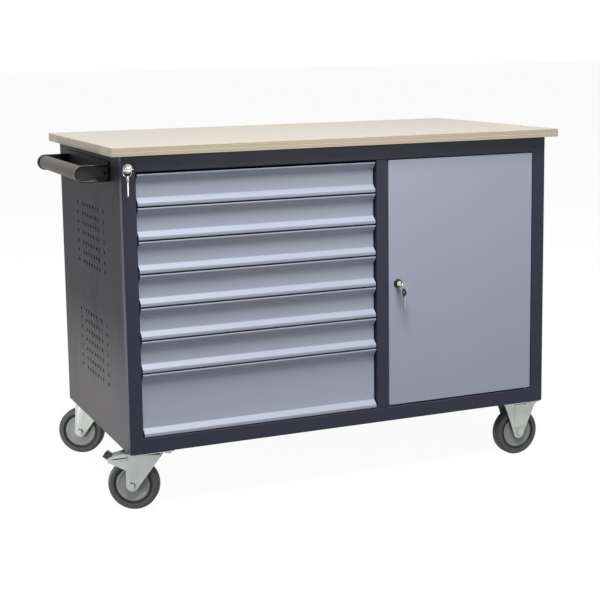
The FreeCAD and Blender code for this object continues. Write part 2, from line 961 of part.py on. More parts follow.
def turned(shape, centre):
    """Turns a caster piece from its own frame, trailing along +X, to its place on the cabinet."""
    copy = shape.copy()
    copy.rotate(V(0, 0, 0), Z_AXIS, swivel_angle)
    copy.translate(centre)
    return copy


def axle(trail_x):
    """Axle bolt with its spacer sleeve between the legs, its head and its nut."""
    centre = V(trail_x, 0, -axle_drop)
    half = fork_gap / 2
    outer = half + fork_sheet
    head = hexagon(centre, Y_AXIS, axle_head_across, -outer - axle_head_height, -outer)
    nut = hexagon(centre, Y_AXIS, axle_head_across, outer, outer + axle_head_height)
    sleeve = rod(centre, Y_AXIS, axle_radius, -half, half)
    return sleeve, [head, nut]


def fork(corners, radii, trail_x):
    """Pressed fork: two legs of the given outline joined by a crown, with the axle through its feet."""
    half = fork_gap / 2
    outer = half + fork_sheet
    body = prism(corners, "y", -outer, outer, radii)
    reach = plate_length * 2
    crown_under = -max(z for x, z in corners) + fork_sheet
    body = body.cut(block(-reach, reach, -half, half, -caster_height, -crown_under))
    sleeve, ends = axle(trail_x)
    return body.fuse([sleeve] + ends)


def swivel_fork_outline(braked):
    """Leg outline of a swivel fork, as (along the trail, height); the braked one has the pedal's arm."""
    foot = -axle_drop - foot_drop
    round_foot = foot_corner_radius
    corners = [(-crown_front, -crown_top - fork_shoulder), (-crown_front, -crown_top)]
    radii = [2, 2]
    if braked:
        corners += [
            (arm_top_end, -crown_top),
            (arm_end, -arm_end_top),
            (arm_end, -arm_end_bottom),
            (arm_elbow, -arm_elbow_drop),
            (trail + foot_rear, -arm_root_drop),
        ]
        radii += [6, 4, 4, 8, 4]
    else:
        corners += [(crown_rear, -crown_top)]
        radii += [4]
    corners += [(trail + foot_rear, foot), (trail - foot_front, foot)]
    radii += [round_foot, round_foot]
    return corners, radii


def swivel_fork(centre, braked):
    """Swivel fork on its king pin, turned to its trailing angle."""
    corners, radii = swivel_fork_outline(braked)
    piece = fork(corners, radii, trail)
    pin_hole = rod(V(0, 0, 0), Z_AXIS, kingpin_radius + running_clearance, -crown_top - fork_sheet - 1, 0)
    piece = piece.cut(pin_hole)
    if braked:
        pivot = V(pedal_pivot_along, 0, -pedal_pivot_drop)
        outer = fork_gap / 2 + fork_sheet
        piece = piece.fuse(rod(pivot, Y_AXIS, pedal_pin_radius, -outer, outer))
    return turned(piece, centre)


def fixed_fork(centre):
    """Fixed caster: straight tapering legs under their own plate."""
    top = -plate_sheet
    foot = -axle_drop - foot_drop
    corners = [
        (-fixed_fork_half_top, top),
        (fixed_fork_half_top, top),
        (fixed_foot_half, foot),
        (-fixed_foot_half, foot),
    ]
    piece = fork(corners, [0, 0, foot_corner_radius, foot_corner_radius], 0)
    piece.translate(centre)
    return caster_plate(centre).fuse(piece)


def tyre():
    """Rubber tyre with chamfered shoulders, in the caster's own frame."""
    half = tyre_width / 2
    section = [
        (tyre_inner_radius, -half),
        (wheel_radius - tyre_shoulder, -half),
        (wheel_radius, -half + tyre_shoulder),
        (wheel_radius, half - tyre_shoulder),
        (wheel_radius - tyre_shoulder, half),
        (tyre_inner_radius, half),
    ]
    return ring_section(section, V(0, 0, 0), Y_AXIS, X_AXIS)


def hub():
    """Moulded wheel centre: a disc with a boss, bored for the axle sleeve."""
    bore = axle_radius + running_clearance
    boss_half = hub_width / 2
    half_section = [
        (bore, boss_half),
        (boss_radius, boss_half),
        (boss_radius, disc_half),
        (tyre_inner_radius, disc_half),
    ]
    section = [(r, -s) for r, s in half_section] + list(reversed(half_section))
    return ring_section(section, V(0, 0, 0), Y_AXIS, X_AXIS)


def brake_pedal():
    """Foot pedal: hinge barrel, plate, brake shoe above the tyre, and a thick rounded tread at its end."""
    pivot = V(pedal_pivot_along, 0, -pedal_pivot_drop)
    half = pedal_width / 2
    barrel = rod(pivot, Y_AXIS, pedal_barrel_radius, -half, half)
    top = -pedal_top_drop
    plate = prism(
        [
            (pedal_pivot_along, top - pedal_plate),
            (pedal_pivot_along, top),
            (pad_start + 1, top),
            (pad_start + 1, top - pedal_plate),
        ],
        "y",
        -half,
        half,
    )
    shoe = block(shoe_start, shoe_end, -tyre_width / 4, tyre_width / 4, -axle_drop, top - pedal_plate / 2)
    tread = rod(V(trail, 0, -axle_drop), Y_AXIS, wheel_radius + brake_gap, -tyre_width, tyre_width)
    tread.rotate(pivot, Y_AXIS, -pedal_swing)
    shoe = shoe.cut(tread)
    pad = prism(
        [
            (pad_start, -pad_bottom_drop),
            (pad_start, -pad_top_drop),
            (pad_end, -pad_top_drop),
            (pad_end, -pad_bottom_drop),
        ],
        "y",
        -pad_width / 2,
        pad_width / 2,
        [pad_round] * 4,
    )
    bore = rod(pivot, Y_AXIS, pedal_pin_radius + running_clearance, -half - 1, half + 1)
    return barrel.fuse([plate, shoe, pad]).cut(bore)


def main():
    """Builds every piece and writes one file for each node."""
    os.makedirs("parts", exist_ok=True)
    write("left_side_panel", [side_panel(0)])
    write("right_side_panel", [side_panel(cabinet_width - body_sheet)])
    write("left_post", [left_post()])
    write("right_post", [corner_post(cabinet_width, door_bay_right)])
    write("base_panel", [base_panel()])
    write("top_panel", top_panel())
    write("back_panel", [back_panel()])
    write("centre_partition", [centre_partition()])
    write("rear_upright", [rear_upright()])
    write("worktop", [worktop()])
    write("shelf", [shelf()])
    write("shelf_clips", shelf_clips())
    write("handle_bracket", [handle_bracket()])
    write("handle_grip", [handle_grip()])

    cabinet_slides = []
    for index in range(drawer_total):
        name = "drawer_%d" % (drawer_total - index)
        write(name + "_front", [drawer_front(index)])
        write(name + "_box", drawer_box(index))
        write(name + "_slides", drawer_slides(index, True) + [drawer_catch(index)])
        cabinet_slides += drawer_slides(index, False)
    write("cabinet_slides", cabinet_slides)

    write("drawer_lock", [lock_body(drawer_lock_x, drawer_lock_z)])
    write("drawer_key", plug_and_key(drawer_lock_x, drawer_lock_z, drawer_lock_tail()))
    write("drawer_spare_key", ring_and_spare(drawer_lock_x, drawer_lock_z, -1))
    write("lock_bar", [lock_bar()])
    write("door_panel", [door_panel(), door_stiffener()])
    write("door_pins", door_pins())
    write("door_lock", [lock_body(door_lock_x, door_lock_z)])
    write("door_key", plug_and_key(door_lock_x, door_lock_z, door_lock_tail()))
    write("door_spare_key", ring_and_spare(door_lock_x, door_lock_z, 1))

    front_left, rear_left, front_right, rear_right = caster_places()
    write("swivel_plates", [swivel_plate(front_left), swivel_plate(rear_left)])
    write("fixed_forks", [fixed_fork(front_right), fixed_fork(rear_right)])
    write("front_left_fork", [swivel_fork(front_left, True)])
    write("rear_left_fork", [swivel_fork(rear_left, False)])
    write("brake_pedal", [turned(brake_pedal(), front_left)])
    wheels = {"front_left": front_left, "rear_left": rear_left}
    for name, centre in wheels.items():
        for part_name, piece in (("tyre", tyre()), ("hub", hub())):
            piece.translate(V(trail, 0, -axle_drop))
            write(name + "_" + part_name, [turned(piece, centre)])
    for name, centre in (("front_right", front_right), ("rear_right", rear_right)):
        for part_name, piece in (("tyre", tyre()), ("hub", hub())):
            piece.translate(centre + V(0, 0, -axle_drop))
            write(name + "_" + part_name, [piece])


main()
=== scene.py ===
"""Looks of a mobile drawer cabinet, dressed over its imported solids.

The solids give every place and size. Sheets, drawer boxes and slides show as they are. Worktop,
door, shelf, locks, keys, swivel plates and swivel forks are merged copies with their edges eased.
Drawer fronts, handle, fixed forks, wheels, pedal and spare keys are surfaces worked out here.
"""
import json
import math

import bmesh
import bpy
import numpy as np
from mathutils import Matrix, Vector

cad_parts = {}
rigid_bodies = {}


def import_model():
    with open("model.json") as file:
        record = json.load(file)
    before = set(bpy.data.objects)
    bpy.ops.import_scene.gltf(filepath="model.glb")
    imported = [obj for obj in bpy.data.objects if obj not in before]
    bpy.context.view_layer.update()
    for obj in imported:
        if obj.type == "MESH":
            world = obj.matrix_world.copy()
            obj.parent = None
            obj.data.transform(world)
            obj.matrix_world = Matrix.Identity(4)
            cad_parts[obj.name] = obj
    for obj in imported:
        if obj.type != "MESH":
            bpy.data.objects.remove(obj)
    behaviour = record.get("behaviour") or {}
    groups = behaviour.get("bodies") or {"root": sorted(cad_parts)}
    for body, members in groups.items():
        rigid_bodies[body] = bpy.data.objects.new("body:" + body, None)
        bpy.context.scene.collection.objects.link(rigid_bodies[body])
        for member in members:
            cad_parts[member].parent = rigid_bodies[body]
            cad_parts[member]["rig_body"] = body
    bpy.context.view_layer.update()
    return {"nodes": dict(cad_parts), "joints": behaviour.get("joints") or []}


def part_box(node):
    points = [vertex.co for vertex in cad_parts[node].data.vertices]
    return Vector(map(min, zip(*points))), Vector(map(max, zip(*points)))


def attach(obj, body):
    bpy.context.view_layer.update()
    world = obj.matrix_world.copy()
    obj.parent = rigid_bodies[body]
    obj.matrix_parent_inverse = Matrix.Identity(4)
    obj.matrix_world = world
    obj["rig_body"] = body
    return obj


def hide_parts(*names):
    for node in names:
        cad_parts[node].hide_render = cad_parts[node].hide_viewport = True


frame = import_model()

bl_info = {
    "name": "Mobile drawer cabinet",
    "version": (1, 0, 0),
    "blender": (4, 5, 0),
    "location": "3D View > Sidebar > Cabinet",
    "description": "Builds the looks of a mobile drawer cabinet over its solids",
    "category": "Object",
}

MM = 0.001
DRAWERS = tuple("drawer_%d" % k for k in range(1, 8))
SWIVELS = ("front_left", "rear_left")
FIXED = ("front_right", "rear_right")
WHEELS = SWIVELS + FIXED
FRAME_SHEETS = (
    "left_post", "right_post", "base_panel", "top_panel", "centre_partition", "rear_upright", "back_panel",
)
JOINTS = {joint["name"]: joint for joint in frame["joints"]}
X = np.array([1.0, 0.0, 0.0])
Y = np.array([0.0, 1.0, 0.0])
Z = np.array([0.0, 0.0, 1.0])


def box_of(node):
    """Lowest and highest corner of a solid as arrays, in metres."""
    low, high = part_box(node)
    return np.array(low), np.array(high)


def place_of(joint):
    """Place of a joint as an array, in metres."""
    return np.array(JOINTS[joint]["pos_m"])


def mm(points):
    """Points given in millimetres, in metres."""
    return np.asarray(points, float) * MM


# Surfaces
def rounded(corners, radii, steps=6):
    """Closed outline whose corners are arcs.

    Each arc has its centre on the corner's bisector, radius / sin(half angle) away, and its points
    are the spherical mix of the two arms from that centre.
    """
    p = np.asarray(corners, float)
    r = np.broadcast_to(np.asarray(radii, float), len(p))[:, None]
    a = np.roll(p, 1, 0) - p
    b = np.roll(p, -1, 0) - p
    a /= np.linalg.norm(a, axis=1, keepdims=True)
    b /= np.linalg.norm(b, axis=1, keepdims=True)
    whole = np.arccos(np.clip((a * b).sum(1, keepdims=True), -1, 1))
    half = whole / 2
    bisector = a + b
    bisector /= np.maximum(np.linalg.norm(bisector, axis=1, keepdims=True), 1e-9)
    centre = p + bisector * r / np.sin(half)
    start = p + a * r / np.tan(half) - centre
    end = p + b * r / np.tan(half) - centre
    turn = np.maximum(math.pi - whole, 1e-6)[:, None, :]
    s = np.linspace(0, 1, steps)[None, :, None]
    arms = np.sin((1 - s) * turn) * start[:, None] + np.sin(s * turn) * end[:, None]
    return (centre[:, None] + arms / np.sin(turn)).reshape(-1, 2)


def sheet_section(path, thickness, bend, steps=5):
    """Outline of a folded sheet: the path, then its parallel at the sheet's thickness on the right.

    A bend's inner arc has the bend radius and its outer arc that radius plus the thickness.
    """
    p = np.asarray(path, float)
    run = np.diff(p, axis=0)
    run /= np.linalg.norm(run, axis=1, keepdims=True)
    normal = np.stack([run[:, 1], -run[:, 0]], 1)
    before = np.vstack([normal[:1], normal])
    after = np.vstack([normal, normal[-1:]])
    middle = before + after
    other = p + middle * (2 * thickness / (middle * middle).sum(1, keepdims=True))
    turn = np.zeros(len(p))
    turn[1:-1] = run[:-1, 0] * run[1:, 1] - run[:-1, 1] * run[1:, 0]
    near = np.where(turn > 0, bend + thickness, bend)
    far = np.where(turn > 0, bend, bend + thickness)
    near[[0, -1]] = far[[0, -1]] = thickness * 0.3
    corners = np.vstack([p, other[::-1]])
    return rounded(corners, np.concatenate([near, far[::-1]]), steps)


def quads(rows, columns, wrap_rows, wrap_columns):
    """Corner numbers of the quads of a grid, row by row."""
    r = np.arange(rows if wrap_rows else rows - 1)[:, None]
    c = np.arange(columns if wrap_columns else columns - 1)[None, :]
    r1 = (r + 1) % rows
    c1 = (c + 1) % columns
    parts = [r * columns + c, r1 * columns + c, r1 * columns + c1, r * columns + c1]
    return np.stack([part.ravel() for part in parts], 1)


def stacked(rings, cap=True, wrap=False):
    """Closed outlines one after another, shape (rings, points, 3), joined into a skin with flat ends."""
    rings = np.asarray(rings, float)
    rows, columns = rings.shape[:2]
    faces = quads(rows, columns, wrap, True).tolist()
    if cap and not wrap:
        faces.append(list(range(columns)))
        faces.append(list(range((rows - 1) * columns, rows * columns))[::-1])
    return rings.reshape(-1, 3), faces


def extruded(section, origin, across, up, along, stations):
    """A plane outline carried along a straight line: origin + across*s0 + up*s1 + along*t."""
    section = np.asarray(section, float)
    plane = np.asarray(origin) + section[:, :1] * across + section[:, 1:] * up
    t = np.asarray(stations, float)[:, None, None]
    return stacked(plane[None] + t * np.asarray(along)[None, None])


def axis_frame(axis):
    """Two unit vectors square to an axis and to each other."""
    a = np.asarray(axis, float) / np.linalg.norm(axis)
    helper = Z if abs(a[2]) < 0.9 else X
    p = np.cross(helper, a)
    p /= np.linalg.norm(p)
    return a, p, np.cross(a, p)


def turned(profile, centre, axis, steps=64, ring=False):
    """Surface of revolution: centre + axis*h + r*(cos angle, sin angle) for profile points (r, h)."""
    a, p, q = axis_frame(axis)
    profile = np.asarray(profile, float)
    angle = np.linspace(0, 2 * math.pi, steps, endpoint=False)
    spokes = np.cos(angle)[:, None] * p + np.sin(angle)[:, None] * q
    points = np.asarray(centre) + profile[:, 1][:, None, None] * a + profile[:, 0][:, None, None] * spokes
    return stacked(points, cap=False, wrap=ring)


def ring_of_wire(centre, axis, radius, wire, steps=64, sides=12):
    """Torus: the wire's circle carried round the ring's circle."""
    angle = np.linspace(0, 2 * math.pi, sides, endpoint=False)
    profile = np.stack([radius + wire * np.cos(angle), wire * np.sin(angle)], 1)
    return turned(profile, centre, axis, steps, ring=True)


def hexagon(centre, axis, across, height, crown=0.12):
    """Six-sided head with a chamfered crown; across is the distance over its flats."""
    a, p, q = axis_frame(axis)
    angle = np.linspace(0, 2 * math.pi, 6, endpoint=False)
    spokes = np.cos(angle)[:, None] * p + np.sin(angle)[:, None] * q
    radius = across / math.sqrt(3)
    levels = np.array([[radius, 0], [radius, height * (1 - crown)], [radius * 0.86, height]])
    rings = np.asarray(centre) + levels[:, 1][:, None, None] * a + levels[:, 0][:, None, None] * spokes
    return stacked(rings)


def bead(start, end, lift, width, height, steps=8):
    """Pressed rib on a face: half an ellipse across, rounded off along its length by a sine."""
    start = np.asarray(start, float)
    end = np.asarray(end, float)
    along = end - start
    side = np.cross(lift, along)
    side /= np.linalg.norm(side)
    t = 0.5 - 0.5 * np.cos(np.linspace(0, math.pi, 15))
    rise = np.sin(np.linspace(0, math.pi, 15)) ** 0.5
    turn = np.linspace(0, math.pi, steps)
    spread = np.cos(turn)[None, :, None] * rise[:, None, None] * side * width / 2
    up = (np.sin(turn)[None, :, None] * rise[:, None, None] - 0.08) * np.asarray(lift) * height
    return stacked(start + t[:, None, None] * along + spread + up, cap=False)


# Pieces
def finish_mesh(mesh, sharp):
    """Merges doubles, turns faces outward and shades by angle."""
    work = bmesh.new()
    work.from_mesh(mesh)
    bmesh.ops.remove_doubles(work, verts=work.verts, dist=1e-6)
    bmesh.ops.recalc_face_normals(work, faces=work.faces)
    work.to_mesh(mesh)
    work.free()
    mesh.shade_smooth()
    mesh.set_sharp_from_angle(angle=math.radians(sharp))


def piece(name, shells, material, body, nodes=(), sharp=35.0):
    """One object at the origin from shells of points and faces, riding on a body."""
    points = np.vstack([shell[0] for shell in shells])
    faces = []
    start = 0
    for shell_points, shell_faces in shells:
        faces += [[start + k for k in face] for face in shell_faces]
        start += len(shell_points)
    mesh = bpy.data.meshes.new(name)
    mesh.from_pydata(points.tolist(), [], faces)
    finish_mesh(mesh, sharp)
    made = bpy.data.objects.new(name, mesh)
    bpy.context.collection.objects.link(made)
    mesh.materials.append(material)
    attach(made, body)
    if nodes:
        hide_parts(*nodes)
    return made


def body_with(node):
    """The body that carries a solid."""
    return frame["nodes"][node]["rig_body"]


def coat(mesh, material):
    """Gives a mesh one finish."""
    mesh.materials.clear()
    mesh.materials.append(material)


def eased(node, material, width, segments=2):
    """Merged copy of a solid with its sharp edges rounded over by a width in mm; it stands for the solid."""
    mesh = frame["nodes"][node].data.copy()
    mesh.name = node + "_eased"
    work = bmesh.new()
    work.from_mesh(mesh)
    bmesh.ops.remove_doubles(work, verts=work.verts, dist=2e-6)
    bmesh.ops.dissolve_limit(work, angle_limit=math.radians(0.5), verts=work.verts, edges=work.edges)
    work.to_mesh(mesh)
    work.free()
    mesh.shade_smooth()
    mesh.set_sharp_from_angle(angle=math.radians(32))
    made = bpy.data.objects.new(mesh.name, mesh)
    bpy.context.collection.objects.link(made)
    coat(mesh, material)
    edge = made.modifiers.new("Eased edges", "BEVEL")
    edge.width = width * MM
    edge.segments = segments
    edge.limit_method = "ANGLE"
    edge.angle_limit = math.radians(40)
    edge.use_clamp_overlap = True
    edge.harden_normals = True
    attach(made, body_with(node))
    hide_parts(node)
    return made


def dress(node, material):
    """Gives a solid that shows as it is its finish."""
    coat(frame["nodes"][node].data, material)


# Node trees
def add(tree, kind, inputs=None, **settings):
    """Adds a node; an input given a socket is linked, and any other gets the value."""
    made = tree.nodes.new(kind)
    for key, value in settings.items():
        setattr(made, key, value)
    for key, value in (inputs or {}).items():
        socket = made.inputs[key]
        if isinstance(value, bpy.types.NodeSocket):
            tree.links.new(value, socket)
        else:
            socket.default_value = value
    return made


def calc(tree, operation, a, b=0.0, c=0.0):
    """One step of arithmetic."""
    return add(tree, "ShaderNodeMath", {0: a, 1: b, 2: c}, operation=operation).outputs[0]


def swing(tree, factor, amount, middle):
    """A middle value that a factor around one half moves up and down by an amount."""
    return calc(tree, "MULTIPLY_ADD", calc(tree, "SUBTRACT", factor, 0.5), amount, middle)


def blend(tree, factor, a, b):
    """Mixes two colours."""
    made = add(tree, "ShaderNodeMix", data_type="RGBA")
    for index, value in ((0, factor), (6, a), (7, b)):
        if isinstance(value, bpy.types.NodeSocket):
            tree.links.new(value, made.inputs[index])
        else:
            made.inputs[index].default_value = value
    return made.outputs[2]


def ramp(tree, factor, low, high):
    """Stretches a factor so that low becomes 0 and high becomes 1, with soft ends."""
    made = add(tree, "ShaderNodeMapRange", {"Value": factor, "From Min": low, "From Max": high})
    made.interpolation_type = "SMOOTHSTEP"
    return made.outputs["Result"]


def effect(name, inputs, outputs):
    """A shader node group with named sockets; returns its tree, its input node and a way to end it."""
    tree = bpy.data.node_groups.new(name, "ShaderNodeTree")
    for label, kind, value in inputs:
        socket = tree.interface.new_socket(label, in_out="INPUT", socket_type="NodeSocket" + kind)
        socket.default_value = value
    for label, kind in outputs:
        tree.interface.new_socket(label, in_out="OUTPUT", socket_type="NodeSocket" + kind)
    return tree, tree.nodes.new("NodeGroupInput"), tree.nodes.new("NodeGroupOutput")


def ends(tree, end, **sockets):
    """Links the sockets of a group's output by their names, with spaces for underscores."""
    for label, socket in sockets.items():
        tree.links.new(socket, end.inputs[label.replace("_", " ")])


def placed(tree, scale=(1.0, 1.0, 1.0)):
    """The object's own coordinates in metres, stretched by a scale."""
    where = tree.nodes.new("ShaderNodeTexCoord")
    return add(tree, "ShaderNodeMapping", {"Vector": where.outputs["Object"], "Scale": scale}).outputs[0]


def noise(tree, vector, scale, detail=2.0, rough=0.5):
    """Fractal noise between 0 and 1."""
    made = add(tree, "ShaderNodeTexNoise", {"Vector": vector, "Scale": scale, "Detail": detail, "Roughness": rough})
    return made.outputs["Fac"]


def make_effects():
    """Builds the shared effects once: paint film, rolled zinc, moulded surface, dust with a painted sheen on what
    faces up, and handling.
    """
    made = {}
    film = [("Colour", "Color"), ("Roughness", "Float"), ("Height", "Float")]
    tree, start, end = effect(
        "Paint film",
        [
            ("Colour", "Color", (0.5, 0.5, 0.5, 1)),
            ("Grain per metre", "Float", 1100.0),
            ("Mottle", "Float", 0.05),
            ("Roughness", "Float", 0.45),
        ],
        film,
    )
    here = placed(tree)
    grain = noise(tree, here, start.outputs["Grain per metre"], 3.0)
    broad = noise(tree, here, 5.0, 4.0, 0.6)
    fleck = noise(tree, here, 420.0, 2.0)
    shade = swing(tree, broad, start.outputs["Mottle"], 1.0)
    fine = swing(tree, fleck, start.outputs["Mottle"], shade)
    toned = add(tree, "ShaderNodeHueSaturation", {"Value": fine, "Color": start.outputs["Colour"]})
    rough = swing(tree, broad, 0.12, start.outputs["Roughness"])
    ends(tree, end, Colour=toned.outputs[0], Roughness=rough, Height=grain)
    made["paint"] = tree

    tree, start, end = effect(
        "Rolled zinc",
        [("Colour", "Color", (0.6, 0.62, 0.6, 1)), ("Roughness", "Float", 0.35)],
        film,
    )
    streak = noise(tree, placed(tree, (1.0, 1.0, 0.08)), 260.0, 3.0)
    cloud = noise(tree, placed(tree), 22.0, 3.0, 0.55)
    tint = blend(tree, ramp(tree, cloud, 0.35, 0.7), start.outputs["Colour"], (0.62, 0.6, 0.5, 1))
    tint = blend(tree, 0.25, start.outputs["Colour"], tint)
    bright = calc(tree, "MULTIPLY_ADD", streak, 0.16, 0.92)
    toned = add(tree, "ShaderNodeHueSaturation", {"Value": bright, "Color": tint})
    rough = swing(tree, cloud, 0.25, start.outputs["Roughness"])
    ends(tree, end, Colour=toned.outputs[0], Roughness=rough, Height=streak)
    made["zinc"] = tree

    tree, start, end = effect(
        "Moulded surface",
        [
            ("Colour", "Color", (0.02, 0.02, 0.02, 1)),
            ("Pores per metre", "Float", 1400.0),
            ("Roughness", "Float", 0.5),
            ("Variation", "Float", 0.2),
        ],
        film,
    )
    here = placed(tree)
    cells = add(tree, "ShaderNodeTexVoronoi", {"Vector": here, "Scale": start.outputs["Pores per metre"]})
    pores = cells.outputs["Distance"]
    cloud = noise(tree, here, 30.0, 3.0)
    value = swing(tree, cloud, start.outputs["Variation"], 1.0)
    toned = add(tree, "ShaderNodeHueSaturation", {"Value": value, "Color": start.outputs["Colour"]})
    rough = swing(tree, cloud, 0.2, start.outputs["Roughness"])
    ends(tree, end, Colour=toned.outputs[0], Roughness=rough, Height=pores)
    made["moulded"] = tree

    # Lightens what faces up: settled dust at small amounts; at large amounts it paints a highlight on top faces.
    tree, start, end = effect(
        "Settled dust",
        [("Colour", "Color", (0.5, 0.5, 0.5, 1)), ("Dust", "Color", (0.42, 0.4, 0.37, 1)), ("Amount", "Float", 0.2)],
        [("Colour", "Color"), ("Mask", "Float")],
    )
    normal = tree.nodes.new("ShaderNodeNewGeometry").outputs["Normal"]
    upward = add(tree, "ShaderNodeSeparateXYZ", {0: normal}).outputs["Z"]
    patches = noise(tree, placed(tree), 55.0, 5.0, 0.65)
    mask = calc(tree, "MULTIPLY", ramp(tree, upward, 0.2, 1.0), ramp(tree, patches, 0.35, 0.75))
    mask = calc(tree, "MULTIPLY", mask, start.outputs["Amount"])
    ends(tree, end, Colour=blend(tree, mask, start.outputs["Colour"], start.outputs["Dust"]), Mask=mask)
    made["dust"] = tree

    tree, start, end = effect(
        "Handling marks",
        [("Roughness", "Float", 0.4), ("Amount", "Float", 0.1)],
        [("Roughness", "Float")],
    )
    smear = noise(tree, placed(tree, (1.0, 1.0, 0.35)), 16.0, 5.0, 0.7)
    marks = calc(tree, "MULTIPLY", ramp(tree, smear, 0.52, 0.72), start.outputs["Amount"])
    ends(tree, end, Roughness=calc(tree, "ADD", start.outputs["Roughness"], marks))
    made["marks"] = tree
    return made


def lay(tree, group, **inputs):
    """Places a shared effect; underscores in the names of its inputs stand for spaces."""
    made = tree.nodes.new("ShaderNodeGroup")
    made.node_tree = group
    for label, value in inputs.items():
        socket = made.inputs[label.replace("_", " ")]
        if isinstance(value, bpy.types.NodeSocket):
            tree.links.new(value, socket)
        else:
            socket.default_value = value
    return made.outputs


def blank(name):
    """A material holding only a Principled shader and its output."""
    made = bpy.data.materials.new(name)
    made.use_nodes = True
    tree = made.node_tree
    return made, tree, tree.nodes["Principled BSDF"]


def finish(tree, shader, colour, rough, height, relief, **fixed):
    """Feeds a Principled shader; relief is the height of the bump in metres."""
    tree.links.new(colour, shader.inputs["Base Color"])
    tree.links.new(rough, shader.inputs["Roughness"])
    bump = add(tree, "ShaderNodeBump", {"Height": height, "Distance": relief, "Strength": 1.0})
    tree.links.new(bump.outputs[0], shader.inputs["Normal"])
    for label, value in fixed.items():
        shader.inputs[label.replace("_", " ")].default_value = value


def painted(effects, name, colour, rough, grain, relief, mottle, dust, shine=0.5, painted_floor_light=None):
    """Powder paint: fine grain, faint mottling, dust on what faces up; painted floor light may lighten its lower
    part.
    """
    made, tree, shader = blank(name)
    film = lay(tree, effects["paint"], Colour=colour, Grain_per_metre=grain, Mottle=mottle, Roughness=rough)
    film_and_floor_light = film["Colour"]
    # Painted light: the colour grows lighter towards the bottom, standing in for light thrown up by the floor.
    if painted_floor_light:
        where = tree.nodes.new("ShaderNodeTexCoord").outputs["Object"]
        height = add(tree, "ShaderNodeSeparateXYZ", {0: where}).outputs["Z"]
        film_and_floor_light = blend(tree, ramp(tree, height, 0.5, 0.25), film_and_floor_light, painted_floor_light)
    dust_and_sheen_colour = lay(tree, effects["dust"], Colour=film_and_floor_light, Amount=dust)
    marked = lay(tree, effects["marks"], Roughness=film["Roughness"], Amount=0.08)
    finish(tree, shader, dust_and_sheen_colour["Colour"], marked["Roughness"], film["Height"], relief, Specular_IOR_Level=shine)
    return made


def zinc_plated(effects, name, colour, rough, metallic):
    """Zinc plate: streaked along its height, with faint warm clouds."""
    made, tree, shader = blank(name)
    film = lay(tree, effects["zinc"], Colour=colour, Roughness=rough)
    dust_and_sheen_colour = lay(tree, effects["dust"], Colour=film["Colour"], Amount=0.15)
    finish(tree, shader, dust_and_sheen_colour["Colour"], film["Roughness"], film["Height"], 0.00002, Metallic=metallic)
    return made


def moulded(effects, name, colour, rough, pores, relief, variation, dust=0.1, shine=0.5):
    """Moulded plastic, foam or rubber with fine pores."""
    made, tree, shader = blank(name)
    film = lay(tree, effects["moulded"], Colour=colour, Pores_per_metre=pores, Roughness=rough, Variation=variation)
    dust_and_sheen_colour = lay(tree, effects["dust"], Colour=film["Colour"], Amount=dust)
    finish(tree, shader, dust_and_sheen_colour["Colour"], film["Roughness"], film["Height"], relief, Specular_IOR_Level=shine)
    return made


def plywood(effects, name, low, high, looks):
    """Varnished plywood: grain along the board on its faces, glued plies at its edges."""
    made, tree, shader = blank(name)
    where = tree.nodes.new("ShaderNodeTexCoord").outputs["Object"]
    height = add(tree, "ShaderNodeSeparateXYZ", {0: where}).outputs["Z"]
    normal = tree.nodes.new("ShaderNodeNewGeometry").outputs["Normal"]
    facing = calc(tree, "ABSOLUTE", add(tree, "ShaderNodeSeparateXYZ", {0: normal}).outputs["Z"])
    flow = noise(tree, placed(tree, (0.8, 6.0, 6.0)), 2.2, 3.0)
    fibres = noise(tree, placed(tree, (3.0, 110.0, 110.0)), 2.0, 5.0, 0.6)
    grain = {"Scale": 12.0, "Distortion": 6.0, "Detail": 3.0, "Detail Scale": 1.2}
    grain["Vector"] = placed(tree, (0.35, 1.0, 1.0))
    rings = add(tree, "ShaderNodeTexWave", grain, bands_direction="Y").outputs["Fac"]
    veneer = blend(tree, ramp(tree, rings, 0.2, 0.9), looks.veneer_light, looks.veneer_dark)
    veneer = blend(tree, calc(tree, "MULTIPLY", ramp(tree, fibres, 0.45, 0.8), 0.35), veneer, looks.veneer_fibre)
    veneer = blend(tree, calc(tree, "MULTIPLY", ramp(tree, flow, 0.4, 0.8), 0.2), veneer, looks.veneer_light)
    level = add(tree, "ShaderNodeMapRange", {"Value": height, "From Min": low, "From Max": high}).outputs["Result"]
    wobble = calc(tree, "MULTIPLY", calc(tree, "SUBTRACT", noise(tree, placed(tree), 9.0, 2.0), 0.5), 0.05)
    plies = calc(tree, "MULTIPLY", calc(tree, "ADD", level, wobble), 11.0)
    odd = calc(tree, "GREATER_THAN", calc(tree, "MODULO", plies, 2.0), 1.0)
    number = calc(tree, "FLOOR", plies)
    each = add(tree, "ShaderNodeTexWhiteNoise", {"W": number}, noise_dimensions="1D").outputs["Value"]
    ply = blend(tree, odd, looks.ply_long, looks.ply_cross)
    ply = blend(tree, calc(tree, "MULTIPLY", each, 0.5), ply, looks.ply_dark)
    seam = calc(tree, "LESS_THAN", calc(tree, "FRACT", plies), 0.14)
    ply = blend(tree, calc(tree, "MULTIPLY", seam, 0.45), ply, looks.ply_glue)
    streaks = noise(tree, placed(tree, (14.0, 14.0, 900.0)), 1.0, 3.0)
    ply = blend(tree, calc(tree, "MULTIPLY", ramp(tree, streaks, 0.4, 0.75), 0.25), ply, looks.ply_dark)
    colour = blend(tree, ramp(tree, facing, 0.35, 0.8), ply, veneer)
    marked = lay(tree, effects["marks"], Roughness=0.42, Amount=0.15)
    finish(tree, shader, colour, marked["Roughness"], fibres, 0.00004, Coat_Weight=0.15, Coat_Roughness=0.35)
    return made


